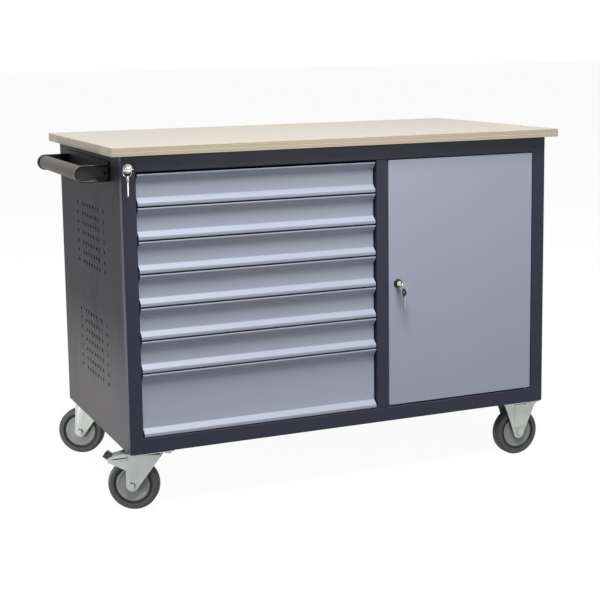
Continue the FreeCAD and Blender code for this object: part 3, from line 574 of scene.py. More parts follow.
def tyre_rubber(effects, name, centre, axis, inner, outer, looks):
    """Rubber: grey side wall, painted black shade in the groove by the hub and darker shoulders, by the distance from
    the axle.
    """
    made, tree, shader = blank(name)
    where = tree.nodes.new("ShaderNodeTexCoord").outputs["Object"]
    arm = add(tree, "ShaderNodeVectorMath", {0: where, 1: tuple(centre)}, operation="SUBTRACT").outputs[0]
    across = add(tree, "ShaderNodeVectorMath", {0: arm, 1: tuple(axis)}, operation="CROSS_PRODUCT").outputs[0]
    reach = add(tree, "ShaderNodeVectorMath", {0: across}, operation="LENGTH").outputs["Value"]
    film = lay(tree, effects["moulded"], Colour=looks.rubber, Pores_per_metre=900.0, Roughness=0.62, Variation=0.3)
    black = (0.006, 0.006, 0.007, 1)
    # Painted shade: the groove next to the hub is coloured black where it lies in shadow.
    groove_shade_mask = calc(tree, "SUBTRACT", 1.0, ramp(tree, reach, inner + 6.2 * MM, inner + 7.4 * MM))
    tread_mask = ramp(tree, reach, outer - 6 * MM, outer - 1 * MM)
    colour = blend(tree, groove_shade_mask, film["Colour"], black)
    colour = blend(tree, calc(tree, "MULTIPLY", tread_mask, 0.6), colour, looks.rubber_tread)
    dust_and_sheen_colour = lay(tree, effects["dust"], Colour=colour, Amount=0.12)
    finish(tree, shader, dust_and_sheen_colour["Colour"], film["Roughness"], film["Height"], 0.00005)
    return made


# Sizes and colours that a user would change
def tone(red, green, blue):
    """Linear colour from display values between 0 and 255."""
    values = [v / 255 for v in (red, green, blue)]
    return tuple(v / 12.92 if v <= 0.04045 else ((v + 0.055) / 1.055) ** 2.4 for v in values) + (1.0,)


def colour(label, text, *rgb):
    """Colour property."""
    return bpy.props.FloatVectorProperty(
        name=label, description=text, subtype="COLOR", size=4, min=0.0, max=1.0, default=tone(*rgb)
    )


def length(label, text, mm):
    """Length property whose default is given in millimetres."""
    return bpy.props.FloatProperty(name=label, description=text, unit="LENGTH", default=mm * MM, min=0.0, precision=4)


def angle(label, text, degrees):
    """Angle property whose default is given in degrees."""
    return bpy.props.FloatProperty(name=label, description=text, subtype="ANGLE", default=math.radians(degrees))


def share(label, text, default, **limits):
    """Plain number without a unit."""
    return bpy.props.FloatProperty(name=label, description=text, default=default, min=0.0, **limits)


def power(label, text, watts):
    """Power of a lamp."""
    return bpy.props.FloatProperty(name=label, description=text, default=watts, unit="POWER")


class CabinetPaints(bpy.types.PropertyGroup):
    frame: colour("Frame", "Powder paint of posts and rails", 41, 43, 60)
    side: colour("Sides", "Powder paint of the side panels", 34, 32, 37)
    # Painted floor light: the lower part of the sides is blended towards this lighter colour.
    side_painted_floor_light: colour("Sides low", "Sides where the floor has left a haze", 86, 84, 86)
    front: colour("Fronts", "Light paint of drawer fronts and door", 160, 167, 184)
    inside: colour("Inside", "Pale paint of drawer boxes and shelf", 176, 180, 184)
    zinc: colour("Zinc", "Zinc plate of slides and clips", 172, 176, 174)
    caster_zinc: colour("Caster zinc", "Zinc plate of forks and plates", 184, 190, 187)
    plastic: colour("Black plastic", "Handle and key head", 13, 13, 15)
    pad: colour("Pedal pad", "Plastic of the brake pedal's pad", 38, 40, 46)
    grip: colour("Grip", "Foam of the push handle", 76, 68, 66)
    rubber: colour("Tyre", "Side wall of the tyres", 70, 69, 72)
    rubber_tread: colour("Tread", "Shoulders and tread of the tyres", 48, 46, 46)
    hub: colour("Hub", "Wheel centres", 146, 147, 148)
    chrome: colour("Chrome", "Drawer lock and keys", 190, 188, 184)
    rosette: colour("Door rosette", "Darkened rosette of the door lock", 22, 23, 27)


class CabinetBoard(bpy.types.PropertyGroup):
    veneer_light: colour("Veneer light", "Lighter wood of the faces", 180, 172, 160)
    veneer_dark: colour("Veneer dark", "Darker wood of the faces", 175, 166, 154)
    veneer_fibre: colour("Veneer fibre", "Fibres in the faces", 154, 143, 128)
    ply_long: colour("Long plies", "Plies that run along the edge", 220, 206, 184)
    ply_cross: colour("Cross plies", "Plies that end at the edge", 192, 177, 153)
    ply_dark: colour("Dark streaks", "Darker wood in the plies", 170, 154, 130)
    ply_glue: colour("Glue lines", "Seams between the plies", 140, 124, 103)


class CabinetSizes(bpy.types.PropertyGroup):
    sheet: length("Front sheet", "Thickness of a drawer front", 1.0)
    bend: length("Bend", "Inner radius of the bends of a front", 1.2)
    lip: length("Lower lip", "Height of a front's lower lip", 8.0)
    flare: length("Flare", "Height of the slope above the lower lip", 11.0)
    recess: length("Recess", "How far the flat face lies behind the lips", 13.0)
    band: length("Band", "Height of the leaning band under the top lip", 16.0)
    top_lip: length("Top lip", "Height of a front's top lip", 3.0)
    arm_thickness: length("Arm thickness", "Thickness of a handle arm", 12.0)
    arm_height: length("Arm height", "Height of a handle arm", 40.0)
    pocket: length("Pocket", "Depth of the hollow in a handle arm", 8.0)
    rim: length("Rim", "Width of the rim round the hollow", 3.0)
    wall_plate: length("Wall plate", "Thickness of the plate between the arms", 3.0)
    ring: length("Key ring", "Radius of a key ring", 10.0)
    wire: length("Ring wire", "Thickness of a key ring's wire", 1.2)
    key_bow: length("Spare key bow", "Radius of a spare key's bow", 8.5)
    key_length: length("Spare key", "Length of a spare key", 49.0)
    key_blade: length("Key blade", "Width of a spare key's blade", 7.0)
    tyre_bead: length("Tyre bead", "Inner radius of a tyre", 41.0)
    tyre_tread: length("Tyre tread", "Outer radius of a tyre", 62.5)
    tyre_width: length("Tyre width", "Width of a tyre", 32.0)
    hub_width: length("Hub width", "Length of a wheel's boss", 38.0)
    lever_sheet: length("Lever sheet", "Thickness of the pedal's lever", 3.0)
    lever_width: length("Lever width", "Width of the pedal's lever", 26.0)
    barrel: length("Barrel", "Half length of the pedal's hinge barrel", 18.0)
    barrel_radius: length("Barrel radius", "Radius of the pedal's hinge barrel", 5.0)
    pad_long: length("Pad length", "Length of the pedal's pad", 17.0)
    pad_thick: length("Pad thickness", "Thickness of the pad", 11.0)
    pad_reach: length("Pad reach", "Distance of the pad's middle from the king pin", 101.5)
    pad_rise: length("Pad rise", "Height of the pad's middle above the pedal's hinge", 0.5)
    pad_lean: angle("Pad lean", "Rise of the pad towards its end", 34)
    pad_across: length("Pad width", "Width of the pad", 30.4)
    axle: length("Axle", "Radius of an axle sleeve", 6.0)
    fork_half: length("Fork", "Outer half width over a fork's legs", 23.0)
    fork_sheet: length("Fork sheet", "Thickness of the forks", 3.0)
    fork_bend: length("Fork bend", "Outer radius of a fixed fork's bends", 9.0)
    fork_foot: length("Fork foot", "Radius of a fixed fork's foot", 15.5)
    fork_left: length("Leg left", "Reach of a fixed fork's leg to the left at its top", 42.0)
    fork_right: length("Leg right", "Reach of a fixed fork's leg to the right at its top", 50.0)
    rib_middle: length("Rib middle", "Distance of a leg's rib from its axle", 4.5)
    rib_half: length("Rib", "Half width of a leg's rib", 18.5)
    rib_height: length("Rib height", "How far a leg's rib stands out", 4.0)
    bottom_rail: length("Bottom rail", "Height of the bottom rail", 38.0)
    top_rail: length("Top rail", "Height of the top rail", 39.0)
    weld: length("Weld", "Width of the dressed weld between post and rail", 2.6)
    race: length("Race", "Radius of a swivel plate's ball race", 28.0)
    plate_sheet: length("Caster plate", "Thickness of a caster plate", 2.5)
    plate_width: length("Plate width", "Width of a caster plate from front to rear", 85.0)
    bolts_long: length("Bolt spacing along", "Distance of a plate's bolts from left to right", 80.0)
    bolts_deep: length("Bolt spacing across", "Distance of a plate's bolts from front to rear", 60.0)


class CabinetStage(bpy.types.PropertyGroup):
    lens: bpy.props.FloatProperty(name="Lens", description="Focal length in millimetres", default=80.615)
    shift: bpy.props.FloatVectorProperty(
        name="Shift", description="Sideways and vertical shift of the lens", size=2, default=(0.0, -0.1)
    )
    eye: bpy.props.FloatVectorProperty(
        name="Eye",
        description="Place of the camera",
        subtype="TRANSLATION",
        size=3,
        default=(-1.3805, -3.2704, 1.1062),
    )
    turn: angle("Turn", "Camera's turn about the vertical", -23.231)
    tilt: angle("Tilt", "Camera's tilt below the horizon", 8.260)
    roll: angle("Roll", "Camera's roll", -0.787)
    sky: share("Sky", "Strength of the even light", 0.1)
    floor: share("Floor", "How much light the floor returns", 0.12, max=1.0)
    glow: share("Floor glow", "What lifts the seen floor to white", 0.95)
    key_light: power("Key light", "Power of the main lamp", 205.0)
    top_light: power("Top light", "Power of the lamp overhead", 2.0)
    fill_light: power("Fill light", "Power of the lamp before the door", 17.0)
    side_light: power("Low light", "Power of the low lamp at the left", 8.0)


def finish_of(name):
    """A finish mixed before, by its name."""
    return bpy.data.materials[name]


class CABINET_OT_finishes(bpy.types.Operator):
    """Mixes the paints, metals, plastics and the plywood"""

    bl_idname = "cabinet.finishes"
    bl_label = "Finishes"

    def execute(self, context):
        paints = context.scene.cabinet_paints
        fx = make_effects()
        painted(fx, "Frame paint", paints.frame, 0.42, 1300.0, 0.00006, 0.10, 0.10, 0.25)
        # The side paint is blended lighter towards the bottom: painted light from the floor.
        painted(fx, "Side paint", paints.side, 0.5, 1300.0, 0.00006, 0.12, 0.10, 0.1, paints.side_painted_floor_light)
        painted(fx, "Front paint", paints.front, 0.38, 1600.0, 0.00003, 0.04, 0.06)
        painted(fx, "Inside paint", paints.inside, 0.45, 1500.0, 0.00003, 0.05, 0.12)
        zinc_plated(fx, "Slide zinc", paints.zinc, 0.34, 0.85)
        zinc_plated(fx, "Caster zinc", paints.caster_zinc, 0.38, 0.55)
        zinc_plated(fx, "Chrome", paints.chrome, 0.16, 1.0)
        moulded(fx, "Dark rosette", paints.rosette, 0.35, 900.0, 0.00002, 0.1, 0.05, 0.3)
        # Dark zinc of the door pins, also used for painted shade rings and lines on the casters.
        zinc_plated(fx, "Dark pins", paints.frame, 0.5, 0.3)
        # Its dust amount of 0.7 is mostly a painted highlight: it lightens the top faces of the handle arms into a
        # light line.
        moulded(fx, "Black plastic", paints.plastic, 0.3, 1100.0, 0.00003, 0.2, 0.7, 0.3)
        moulded(fx, "Plate plastic", paints.plastic, 0.5, 1100.0, 0.00003, 0.2, 0.1, 0.08)
        moulded(fx, "Pedal pad", paints.pad, 0.5, 1100.0, 0.00005, 0.3, 0.7)
        moulded(fx, "Grip foam", paints.grip, 0.62, 700.0, 0.00012, 0.25)
        moulded(fx, "Hub plastic", paints.hub, 0.48, 900.0, 0.00004, 0.12)
        low, high = box_of("worktop")
        plywood(fx, "Plywood", low[2], high[2], context.scene.cabinet_board)
        sizes = context.scene.cabinet_sizes
        reach = (sizes.tyre_bead, sizes.tyre_tread)
        for wheel in WHEELS:
            joint = JOINTS[wheel + "_wheel_roll"]
            tyre_rubber(fx, "Rubber " + wheel, joint["pos_m"], joint["axis"], *reach, paints)
        return {"FINISHED"}


class CABINET_OT_body(bpy.types.Operator):
    """Paints the sheets of the body and dresses the welds at its posts"""

    bl_idname = "cabinet.body"
    bl_label = "Body sheets"

    def execute(self, context):
        paint = finish_of("Frame paint")
        for node in FRAME_SHEETS:
            dress(node, paint)
        for node in ("left_side_panel", "right_side_panel"):
            dress(node, finish_of("Side paint"))
        s = context.scene.cabinet_sizes
        face = box_of("left_post")[0][1]
        low = box_of("base_panel")[0][2]
        high = box_of("top_panel")[1][2]
        rails = (
            (low + 0.2 * MM, low + s.bottom_rail - 0.3 * MM),
            (high - s.top_rail + 0.3 * MM, high - 0.2 * MM),
        )
        welds = []
        for x, side in ((box_of("left_post")[1][0], -1), (box_of("right_post")[0][0], 1)):
            for z0, z1 in rails:
                x0, x1 = sorted((x + side * s.weld, x - side * 0.6 * MM))
                welds.append(slab((x0, face - 0.04 * MM, z0), (x1, face + 0.8 * MM, z1), 0.03 * MM))
        piece("corner_welds", welds, paint, "cabinet")
        eased("door_pins", finish_of("Dark pins"), 0.3)
        return {"FINISHED"}


class CABINET_OT_worktop(bpy.types.Operator):
    """Varnishes the worktop and breaks its edges"""

    bl_idname = "cabinet.worktop"
    bl_label = "Worktop"

    def execute(self, context):
        eased("worktop", finish_of("Plywood"), 0.6, 3)
        return {"FINISHED"}


class CABINET_OT_fronts(bpy.types.Operator):
    """Bends the seven drawer fronts"""

    bl_idname = "cabinet.fronts"
    bl_label = "Drawer fronts"

    def execute(self, context):
        s = context.scene.cabinet_sizes
        for name in DRAWERS:
            low, high = box_of(name + "_front")
            depth = high[1] - low[1]
            tall = high[2] - low[2]
            path = [
                (depth, 0),
                (0, 0),
                (0, s.lip),
                (s.recess, s.lip + s.flare),
                (s.recess, tall - s.top_lip - s.band),
                (0, tall - s.top_lip),
                (0, tall),
                (depth, tall),
            ]
            section = sheet_section(path, s.sheet, s.bend)
            shell = extruded(section, (0, low[1], low[2]), Y, Z, X, (low[0], high[0]))
            piece(name + "_bent_front", [shell], finish_of("Front paint"), name, [name + "_front"])
        return {"FINISHED"}


class CABINET_OT_trays(bpy.types.Operator):
    """Finishes the drawer boxes and slides"""

    bl_idname = "cabinet.trays"
    bl_label = "Drawer boxes and slides"

    def execute(self, context):
        for name in DRAWERS:
            dress(name + "_box", finish_of("Inside paint"))
            dress(name + "_slides", finish_of("Slide zinc"))
        dress("cabinet_slides", finish_of("Slide zinc"))
        return {"FINISHED"}


class CABINET_OT_door(bpy.types.Operator):
    """Eases and paints the door"""

    bl_idname = "cabinet.door"
    bl_label = "Door"

    def execute(self, context):
        eased("door_panel", finish_of("Front paint"), 0.5, 3)
        return {"FINISHED"}


class CABINET_OT_shelf(bpy.types.Operator):
    """Finishes the shelf and its clips"""

    bl_idname = "cabinet.shelf"
    bl_label = "Shelf"

    def execute(self, context):
        eased("shelf", finish_of("Inside paint"), 0.3)
        eased("shelf_clips", finish_of("Slide zinc"), 0.3)
        return {"FINISHED"}


class CABINET_OT_locks(bpy.types.Operator):
    """Finishes both locks and the bar that they work"""

    bl_idname = "cabinet.locks"
    bl_label = "Locks"

    def execute(self, context):
        eased("drawer_lock", finish_of("Chrome"), 0.8, 3)
        eased("door_lock", finish_of("Dark rosette"), 0.8, 3)
        eased("drawer_key", finish_of("Chrome"), 0.25)
        eased("door_key", finish_of("Chrome"), 0.25)
        dress("lock_bar", finish_of("Slide zinc"))
        return {"FINISHED"}


def spare_key(name, s, head):
    """Ring and the key on it: a torus, a bow turned about its hole and a notched blade.

    The blade is a section of eight corners carried down its length; its notches follow a
    triangle wave of the height.
    """
    centre = place_of(name + "_swing")
    thick = 1.0 * MM
    hole = 4.0 * MM
    wall = 2.0 * MM
    play = 0.225 * MM
    bow_z = centre[2] - s.ring + s.wire / 2 + play + wall - s.key_bow
    bow_top = bow_z + s.key_bow
    hole_z = bow_top - wall - hole
    inner = s.key_bow * 0.47
    steel = finish_of("Chrome")
    body = body_with(name)
    ring = ring_of_wire(centre, Y, s.ring, s.wire / 2)
    face = rounded([(inner, -thick), (s.key_bow, -thick), (s.key_bow, thick), (inner, thick)], 0.3 * MM)
    bow = turned(face, (centre[0], centre[1], bow_z), X, 48, ring=True)
    tip = bow_top - s.key_length
    z = np.linspace(bow_z - s.key_bow * 0.6, tip, 60)
    cut, deep, bitted = 4.5 * MM, 1.6 * MM, 24 * MM
    notch = np.abs(((z - tip) / cut) % 2 - 1) * deep * (z - tip < bitted)
    point = np.clip((z - tip) / (s.key_blade / 2), 0.12, 1)
    left = -s.key_blade / 2 * point
    right = (s.key_blade / 2 - notch) * point
    half = np.full_like(z, thick)
    groove = half * 0.45
    zero = (left + right) / 2
    width = s.key_blade * 0.12
    floor = width * 0.6
    ys = np.stack([left, left, zero - width, zero - floor, zero + floor, zero + width, right, right], 1)
    xs = np.stack([-half, half, half, groove, groove, half, half, -half], 1)
    rings = np.stack([centre[0] + xs, centre[1] + ys, np.repeat(z[:, None], 8, 1)], 2)
    shells = [bow, stacked(rings)]
    piece(name + "_ring", [ring], steel, body, [name])
    piece(name + "_blade", shells, steel, body, sharp=30)
    if head:
        hull = rounded(mm([(4.4, -1.9), (9.6, -1.9), (9.6, 1.9), (4.4, 1.9)]), 0.9 * MM)
        cover = turned(hull, (centre[0], centre[1], hole_z), X, 48, ring=True)
        piece(name + "_head", [cover], finish_of("Black plastic"), body)


class CABINET_OT_keys(bpy.types.Operator):
    """Hangs a spare key on its ring at each lock"""

    bl_idname = "cabinet.keys"
    bl_label = "Spare keys"

    def execute(self, context):
        s = context.scene.cabinet_sizes
        spare_key("drawer_spare_key", s, False)
        spare_key("door_spare_key", s, True)
        return {"FINISHED"}


def slab(low, high, edge):
    """Rounded block: a rounded rectangle in XZ stacked along Y, drawn in towards both ends."""
    depth = high[1] - low[1]
    steps = ((edge, 0), (edge * 0.3, edge * 0.3), (0, edge))
    rings = []
    for d, t in steps + tuple((d, depth - t) for d, t in reversed(steps)):
        x0, x1, z0, z1 = low[0] + d, high[0] - d, low[2] + d, high[2] - d
        flat = rounded([(x0, z0), (x1, z0), (x1, z1), (x0, z1)], max(edge - d, 0.05 * MM))
        rings.append(np.stack([flat[:, 0], np.full(len(flat), low[1] + t), flat[:, 1]], 1))
    return stacked(rings)


def handle_arm(root, tip, low, high, outer, inward, s):
    """Moulded arm: outlines of a rounded bar drawn in step by step over its rim and down its hollow."""
    rim = s.rim
    steps = [
        (0.9 * MM, s.arm_thickness),
        (0.25 * MM, s.arm_thickness - 0.25 * MM),
        (0.0, s.arm_thickness - 0.9 * MM),
        (0.0, 0.9 * MM),
        (0.25 * MM, 0.25 * MM),
        (0.9 * MM, 0.0),
        (rim - 0.9 * MM, 0.0),
        (rim - 0.25 * MM, 0.25 * MM),
        (rim, 0.9 * MM),
        (rim + 0.7 * MM, s.pocket - 1.5 * MM),
        (rim + 1.2 * MM, s.pocket - 0.4 * MM),
        (rim + 2.4 * MM, s.pocket),
    ]
    radius = (high - low) / 2 - 0.05 * MM
    rings = []
    for inset, depth in steps:
        corners = [
            (root - inset, low + inset),
            (tip + inset, low + inset),
            (tip + inset, high - inset),
            (root - inset, high - inset),
        ]
        end = radius - inset
        flat = rounded(corners, [0.4 * MM, end, end, 0.4 * MM], 14)
        rings.append(np.stack([flat[:, 0], np.full(len(flat), outer + inward * depth), flat[:, 1]], 1))
    return stacked(rings)


class CABINET_OT_handle(bpy.types.Operator):
    """Moulds the push handle: wall plate, two arms and the grip"""

    bl_idname = "cabinet.handle"
    bl_label = "Push handle"

    def execute(self, context):
        s = context.scene.cabinet_sizes
        low, high = box_of("handle_bracket")
        top = low[2] + s.arm_height
        plate = slab((high[0] - s.wall_plate, low[1], low[2]), (high[0], high[1], high[2]), 0.6 * MM)
        piece("handle_wall_plate", [plate], finish_of("Plate plastic"), body_with("handle_bracket"))
        screw = mm([(0, 1), (2, 1), (2, 3), (2.2, 3), (4.2, 2.2), (5, 1), (5, -0.5), (0, -0.5)])
        shells = []
        for outer, inward in ((low[1], 1), (high[1], -1)):
            shells.append(handle_arm(high[0] - 0.2 * MM, low[0], low[2], top, outer, inward, s))
            floor = outer + inward * s.pocket
            seat = (high[0] - 13 * MM, floor, (low[2] + top) / 2)
            shells.append(turned(screw, seat, Y * -inward, 32))
        black = finish_of("Black plastic")
        body = body_with("handle_bracket")
        piece("handle_bracket_moulded", shells, black, body, ["handle_bracket"])
        low, high = box_of("handle_grip")
        centre = ((low[0] + high[0]) / 2, low[1], (low[2] + high[2]) / 2)
        radius = (high[0] - low[0]) / 2
        reach = high[1] - low[1]
        collar = 7.0 * MM
        half = [
            (0, collar),
            (radius - 0.8 * MM, collar),
            (radius - 0.2 * MM, collar + 0.5 * MM),
            (radius, collar + 1.5 * MM),
        ]
        tube = turned(half + [(r, reach - h) for r, h in reversed(half)], centre, Y, 72)
        body = body_with("handle_grip")
        piece("handle_grip_tube", [tube], finish_of("Grip foam"), body, ["handle_grip"])
        rings = []
        for start in (0.0, reach - collar):
            rim = [(radius - 0.6 * MM, 0), (radius - 0.1 * MM, 0.5 * MM)]
            cap = [(0, 0)] + rim + [(r, collar - h) for r, h in reversed(rim)] + [(0, collar)]
            rings.append(turned([(r, start + h) for r, h in cap], centre, Y, 72))
        piece("handle_grip_collars", rings, black, body)
        return {"FINISHED"}


def soft_step(value):
    """0 below 0, 1 above 1, smooth between."""
    t = np.clip(value, 0, 1)
    return t * t * (3 - 2 * t)


def pressed_fork(centre, top, s):
    """Fork pressed from one strip: down one leg, over the crown and down the other.

    The strip's middle line goes up a leg, round a quarter circle and over the crown; its half widths
    follow the foot's circle below the axle and a straight taper above it, and a rib stands out from
    its middle by a smooth step across and along.
    """
    outer = s.fork_half
    bend = s.fork_bend
    foot = s.fork_foot
    axle = centre[2]
    round_foot = axle - foot * np.cos(np.linspace(0.06, math.pi / 2, 12))
    straight = np.linspace(axle, top - bend, 20)[1:]
    arc = np.linspace(0, math.pi / 2, 9)[1:]
    y = np.concatenate([np.full(len(round_foot) + len(straight), -outer), -outer + bend * (1 - np.cos(arc))])
    z = np.concatenate([round_foot, straight, top - bend + bend * np.sin(arc)])
    turn = np.concatenate([np.zeros(len(round_foot) + len(straight)), arc])
    inward_y = np.cos(turn)
    inward_z = -np.sin(turn)
    y, z = np.concatenate([y, -y[::-1]]), np.concatenate([z, z[::-1]])
    inward_y = np.concatenate([inward_y, -inward_y[::-1]])
    inward_z = np.concatenate([inward_z, inward_z[::-1]])
    rise = np.clip((z - axle) / (top - bend - axle), 0, 1)
    below = np.sqrt(np.clip(foot**2 - np.clip(axle - z, 0, foot) ** 2, 0, None))
    left = -(below + (s.fork_left - foot) * rise)
    right = below + (s.fork_right - foot) * rise
    edge = s.rib_middle + np.array([-1, 1])[:, None] * (s.rib_half + np.linspace(-4, 4, 7) * MM)
    x = np.sort(np.concatenate([np.linspace(-s.fork_left, s.fork_right, 19), edge.ravel()]))
    x = np.clip(x[None, :], left[:, None], right[:, None])
    along = soft_step((z - axle - 8 * MM) / (10 * MM)) * soft_step((top - bend * 0.3 - z) / (8 * MM))
    across = soft_step((s.rib_half + 1.5 * MM - np.abs(x - s.rib_middle)) / (3 * MM))
    rib = s.rib_height * along[:, None] * across
    front = np.stack([x, y[:, None] - inward_y[:, None] * rib, z[:, None] - inward_z[:, None] * rib], 2)
    rear = front + s.fork_sheet * np.stack([inward_y * 0, inward_y, inward_z], 1)[:, None, :]
    rings = np.concatenate([front, rear[:, ::-1]], 1) + np.array([centre[0], centre[1], 0.0])
    return stacked(rings)


class CABINET_OT_forks(bpy.types.Operator):
    """Presses the fixed forks, eases the swivel forks and ribs their legs"""

    bl_idname = "cabinet.forks"
    bl_label = "Caster forks"

    def execute(self, context):
        s = context.scene.cabinet_sizes
        zinc = finish_of("Caster zinc")
        dark = finish_of("Dark pins")
        eased("swivel_plates", zinc, 0.8, 3)
        plate_low = box_of("swivel_plates")[1][2] - s.plate_sheet
        # Painted shade: a dark ring under the ball race of each plate, where the gap between plate and fork crown
        # lies in shadow.
        race_shade_ring = mm([(-1, 0), (0.8, 0), (0.8, 6.2), (-4, 6.2)]) + (s.race, 0)
        race_shade_rings = []
        for name in SWIVELS:
            x, y = place_of(name + "_swivel_turn")[:2]
            race_shade_rings.append(turned(race_shade_ring, (x, y, plate_low), -Z, 64, ring=True))
        piece("swivel_race_seals", race_shade_rings, dark, "cabinet")
        low, high = box_of("fixed_forks")
        plate_low = high[2] - s.plate_sheet
        half = s.plate_width / 2
        sleeve = [(0, -s.fork_half), (s.axle, -s.fork_half), (s.axle, s.fork_half), (0, s.fork_half)]
        shells = []
        for wheel in FIXED:
            axle = place_of(wheel + "_wheel_roll")
            shells.append(pressed_fork(axle, plate_low, s))
            shells.append(slab((low[0], axle[1] - half, plate_low), (high[0], axle[1] + half, high[2]), 0.8 * MM))
            for side in (-1, 1):
                shells.append(axle_end(axle + side * s.fork_half * Y, Y * side))
            shells.append(turned(sleeve, axle, Y, 32))
        piece("fixed_forks_pressed", shells, zinc, "cabinet", ["fixed_forks"])
        # Painted shade: dark rings round the axle nuts and a dark line in the groove of the front left arm, where
        # shade falls.
        nut_shade_ring = mm([(6.0, -0.3), (8.2, -0.3), (8.2, 0.5), (6.0, 0.5)])
        for name in SWIVELS:
            eased(name + "_fork", zinc, 0.8, 3)
            axle = place_of(name + "_wheel_roll")
            trail = (axle - place_of(name + "_swivel_turn")) * (1, 1, 0)
            trail /= np.linalg.norm(trail)
            across = np.cross(Z, trail)
            shells, painted_shades = [], []
            for side in (-1, 1):
                face = axle + side * s.fork_half * across
                lift = side * across
                shells.append(leg_bead(face, trail, lift, LEG_RIB, 20, 0.35, 12))
                if name == "front_left":
                    shells += [leg_bead(face, trail, lift, line, 4.5, 1.5) for line in ARM_RIBS]
                    painted_shades.append(leg_bead(face, trail, lift, ARM_SHADE_LINE, 2.6, 0.6))
                shells.append(turned(washer(), face, lift, 48, ring=True))
                painted_shades.append(turned(nut_shade_ring, face, lift, 48, ring=True))
            piece(name + "_fork_ribs", shells, zinc, name + "_swivel")
            piece(name + "_fork_gaps", painted_shades, dark, name + "_swivel")
        return {"FINISHED"}


# Beads on a swivel fork's leg and arm, and the painted shade line in the arm's groove: (distance along the trail,
# height above the axle) of both ends, mm
LEG_RIB = ((-1, 16), (-10, 76))
ARM_RIBS = (((50, 66.5), (8, 73)), ((50, 59.5), (8, 66)))
ARM_SHADE_LINE = ((50, 63), (8, 69.5))


def leg_bead(face, trail, lift, line, width, height, steps=8):
    """Bead between two points of a leg's face; line, width and height are in mm."""
    start, end = (face + (reach * trail + rise * Z) * MM for reach, rise in line)
    return bead(start, end, lift, width * MM, height * MM, steps)


def washer():
    """Section of a washer on a leg, as (distance from the axle, height above the face)."""
    return rounded(mm([(8.0, -0.3), (10.8, -0.3), (10.8, 0.9), (8.0, 0.9)]), 0.35 * MM)


def axle_end(seat, outward):
    """Washer and nut at the end of an axle, made as one turned outline with a six-sided top."""
    ring_points, ring_faces = turned(washer(), seat, outward, 48, ring=True)
    nut_points, nut_faces = hexagon(seat, outward, 13 * MM, 6 * MM)
    first = len(ring_points)
    return np.vstack([ring_points, nut_points]), ring_faces + [[first + k for k in face] for face in nut_faces]


class CABINET_OT_wheels(bpy.types.Operator):
    """Turns the tyres and hubs"""

    bl_idname = "cabinet.wheels"
    bl_label = "Wheels"

    def execute(self, context):
        s = context.scene.cabinet_sizes
        inner = s.tyre_bead
        tread = s.tyre_tread
        half = s.tyre_width / 2
        side = [
            (inner, -half + 5.0 * MM),
            (inner + 6.0 * MM, -half + 4.6 * MM),
            (inner + 7.2 * MM, -half + 0.4 * MM),
            (tread - 5.5 * MM, -half),
            (tread, -half + 5.5 * MM),
        ]
        outline = side + [(r, -h) for r, h in reversed(side)]
        rounding = np.array([0.2, 1.2, 1.0, 3.5, 4.5, 4.5, 3.5, 1.0, 1.2, 0.2]) * MM
        tyre = rounded(outline, rounding, 6)
        boss = s.hub_width / 2
        disc = 14.0 * MM
        half_hub = [
            (s.axle + 0.1 * MM, -boss),
            (13.5 * MM, -boss),
            (15.0 * MM, -boss + 1.5 * MM),
            (16.0 * MM, -disc + 1.0 * MM),
            (inner - 7.0 * MM, -disc + 1.0 * MM),
            (inner - 5.5 * MM, -disc),
            (inner, -disc),
        ]
        hub_outline = half_hub + [(r, -h) for r, h in reversed(half_hub)]
        curve = np.array([0.2, 0.8, 0.8, 1.5, 1.5, 1.2, 0.4]) * MM
        hub = rounded(hub_outline, np.concatenate([curve, curve[::-1]]), 5)
        for wheel in WHEELS:
            joint = JOINTS[wheel + "_wheel_roll"]
            for name, section, steps, finish_name, slot, node in (
                ("_rubber", tyre, 96, "Rubber " + wheel, "caster_rubber", "_tyre"),
                ("_centre", hub, 80, "Hub plastic", "hub_plastic", "_hub"),
            ):
                shell = turned(section, joint["pos_m"], joint["axis"], steps, ring=True)
                piece(wheel + name, [shell], finish_of(finish_name), wheel + "_wheel", [wheel + node])
        return {"FINISHED"}


# Pedal's middle line and the block over its hinge: (distance from the king pin, height above the hinge), mm
LEVER_PATH = ((52, 1), (66, 1), (80, -5), (98, 1))
BLOCK = ((60, 3), (69, 3), (69, 11), (60, 11))


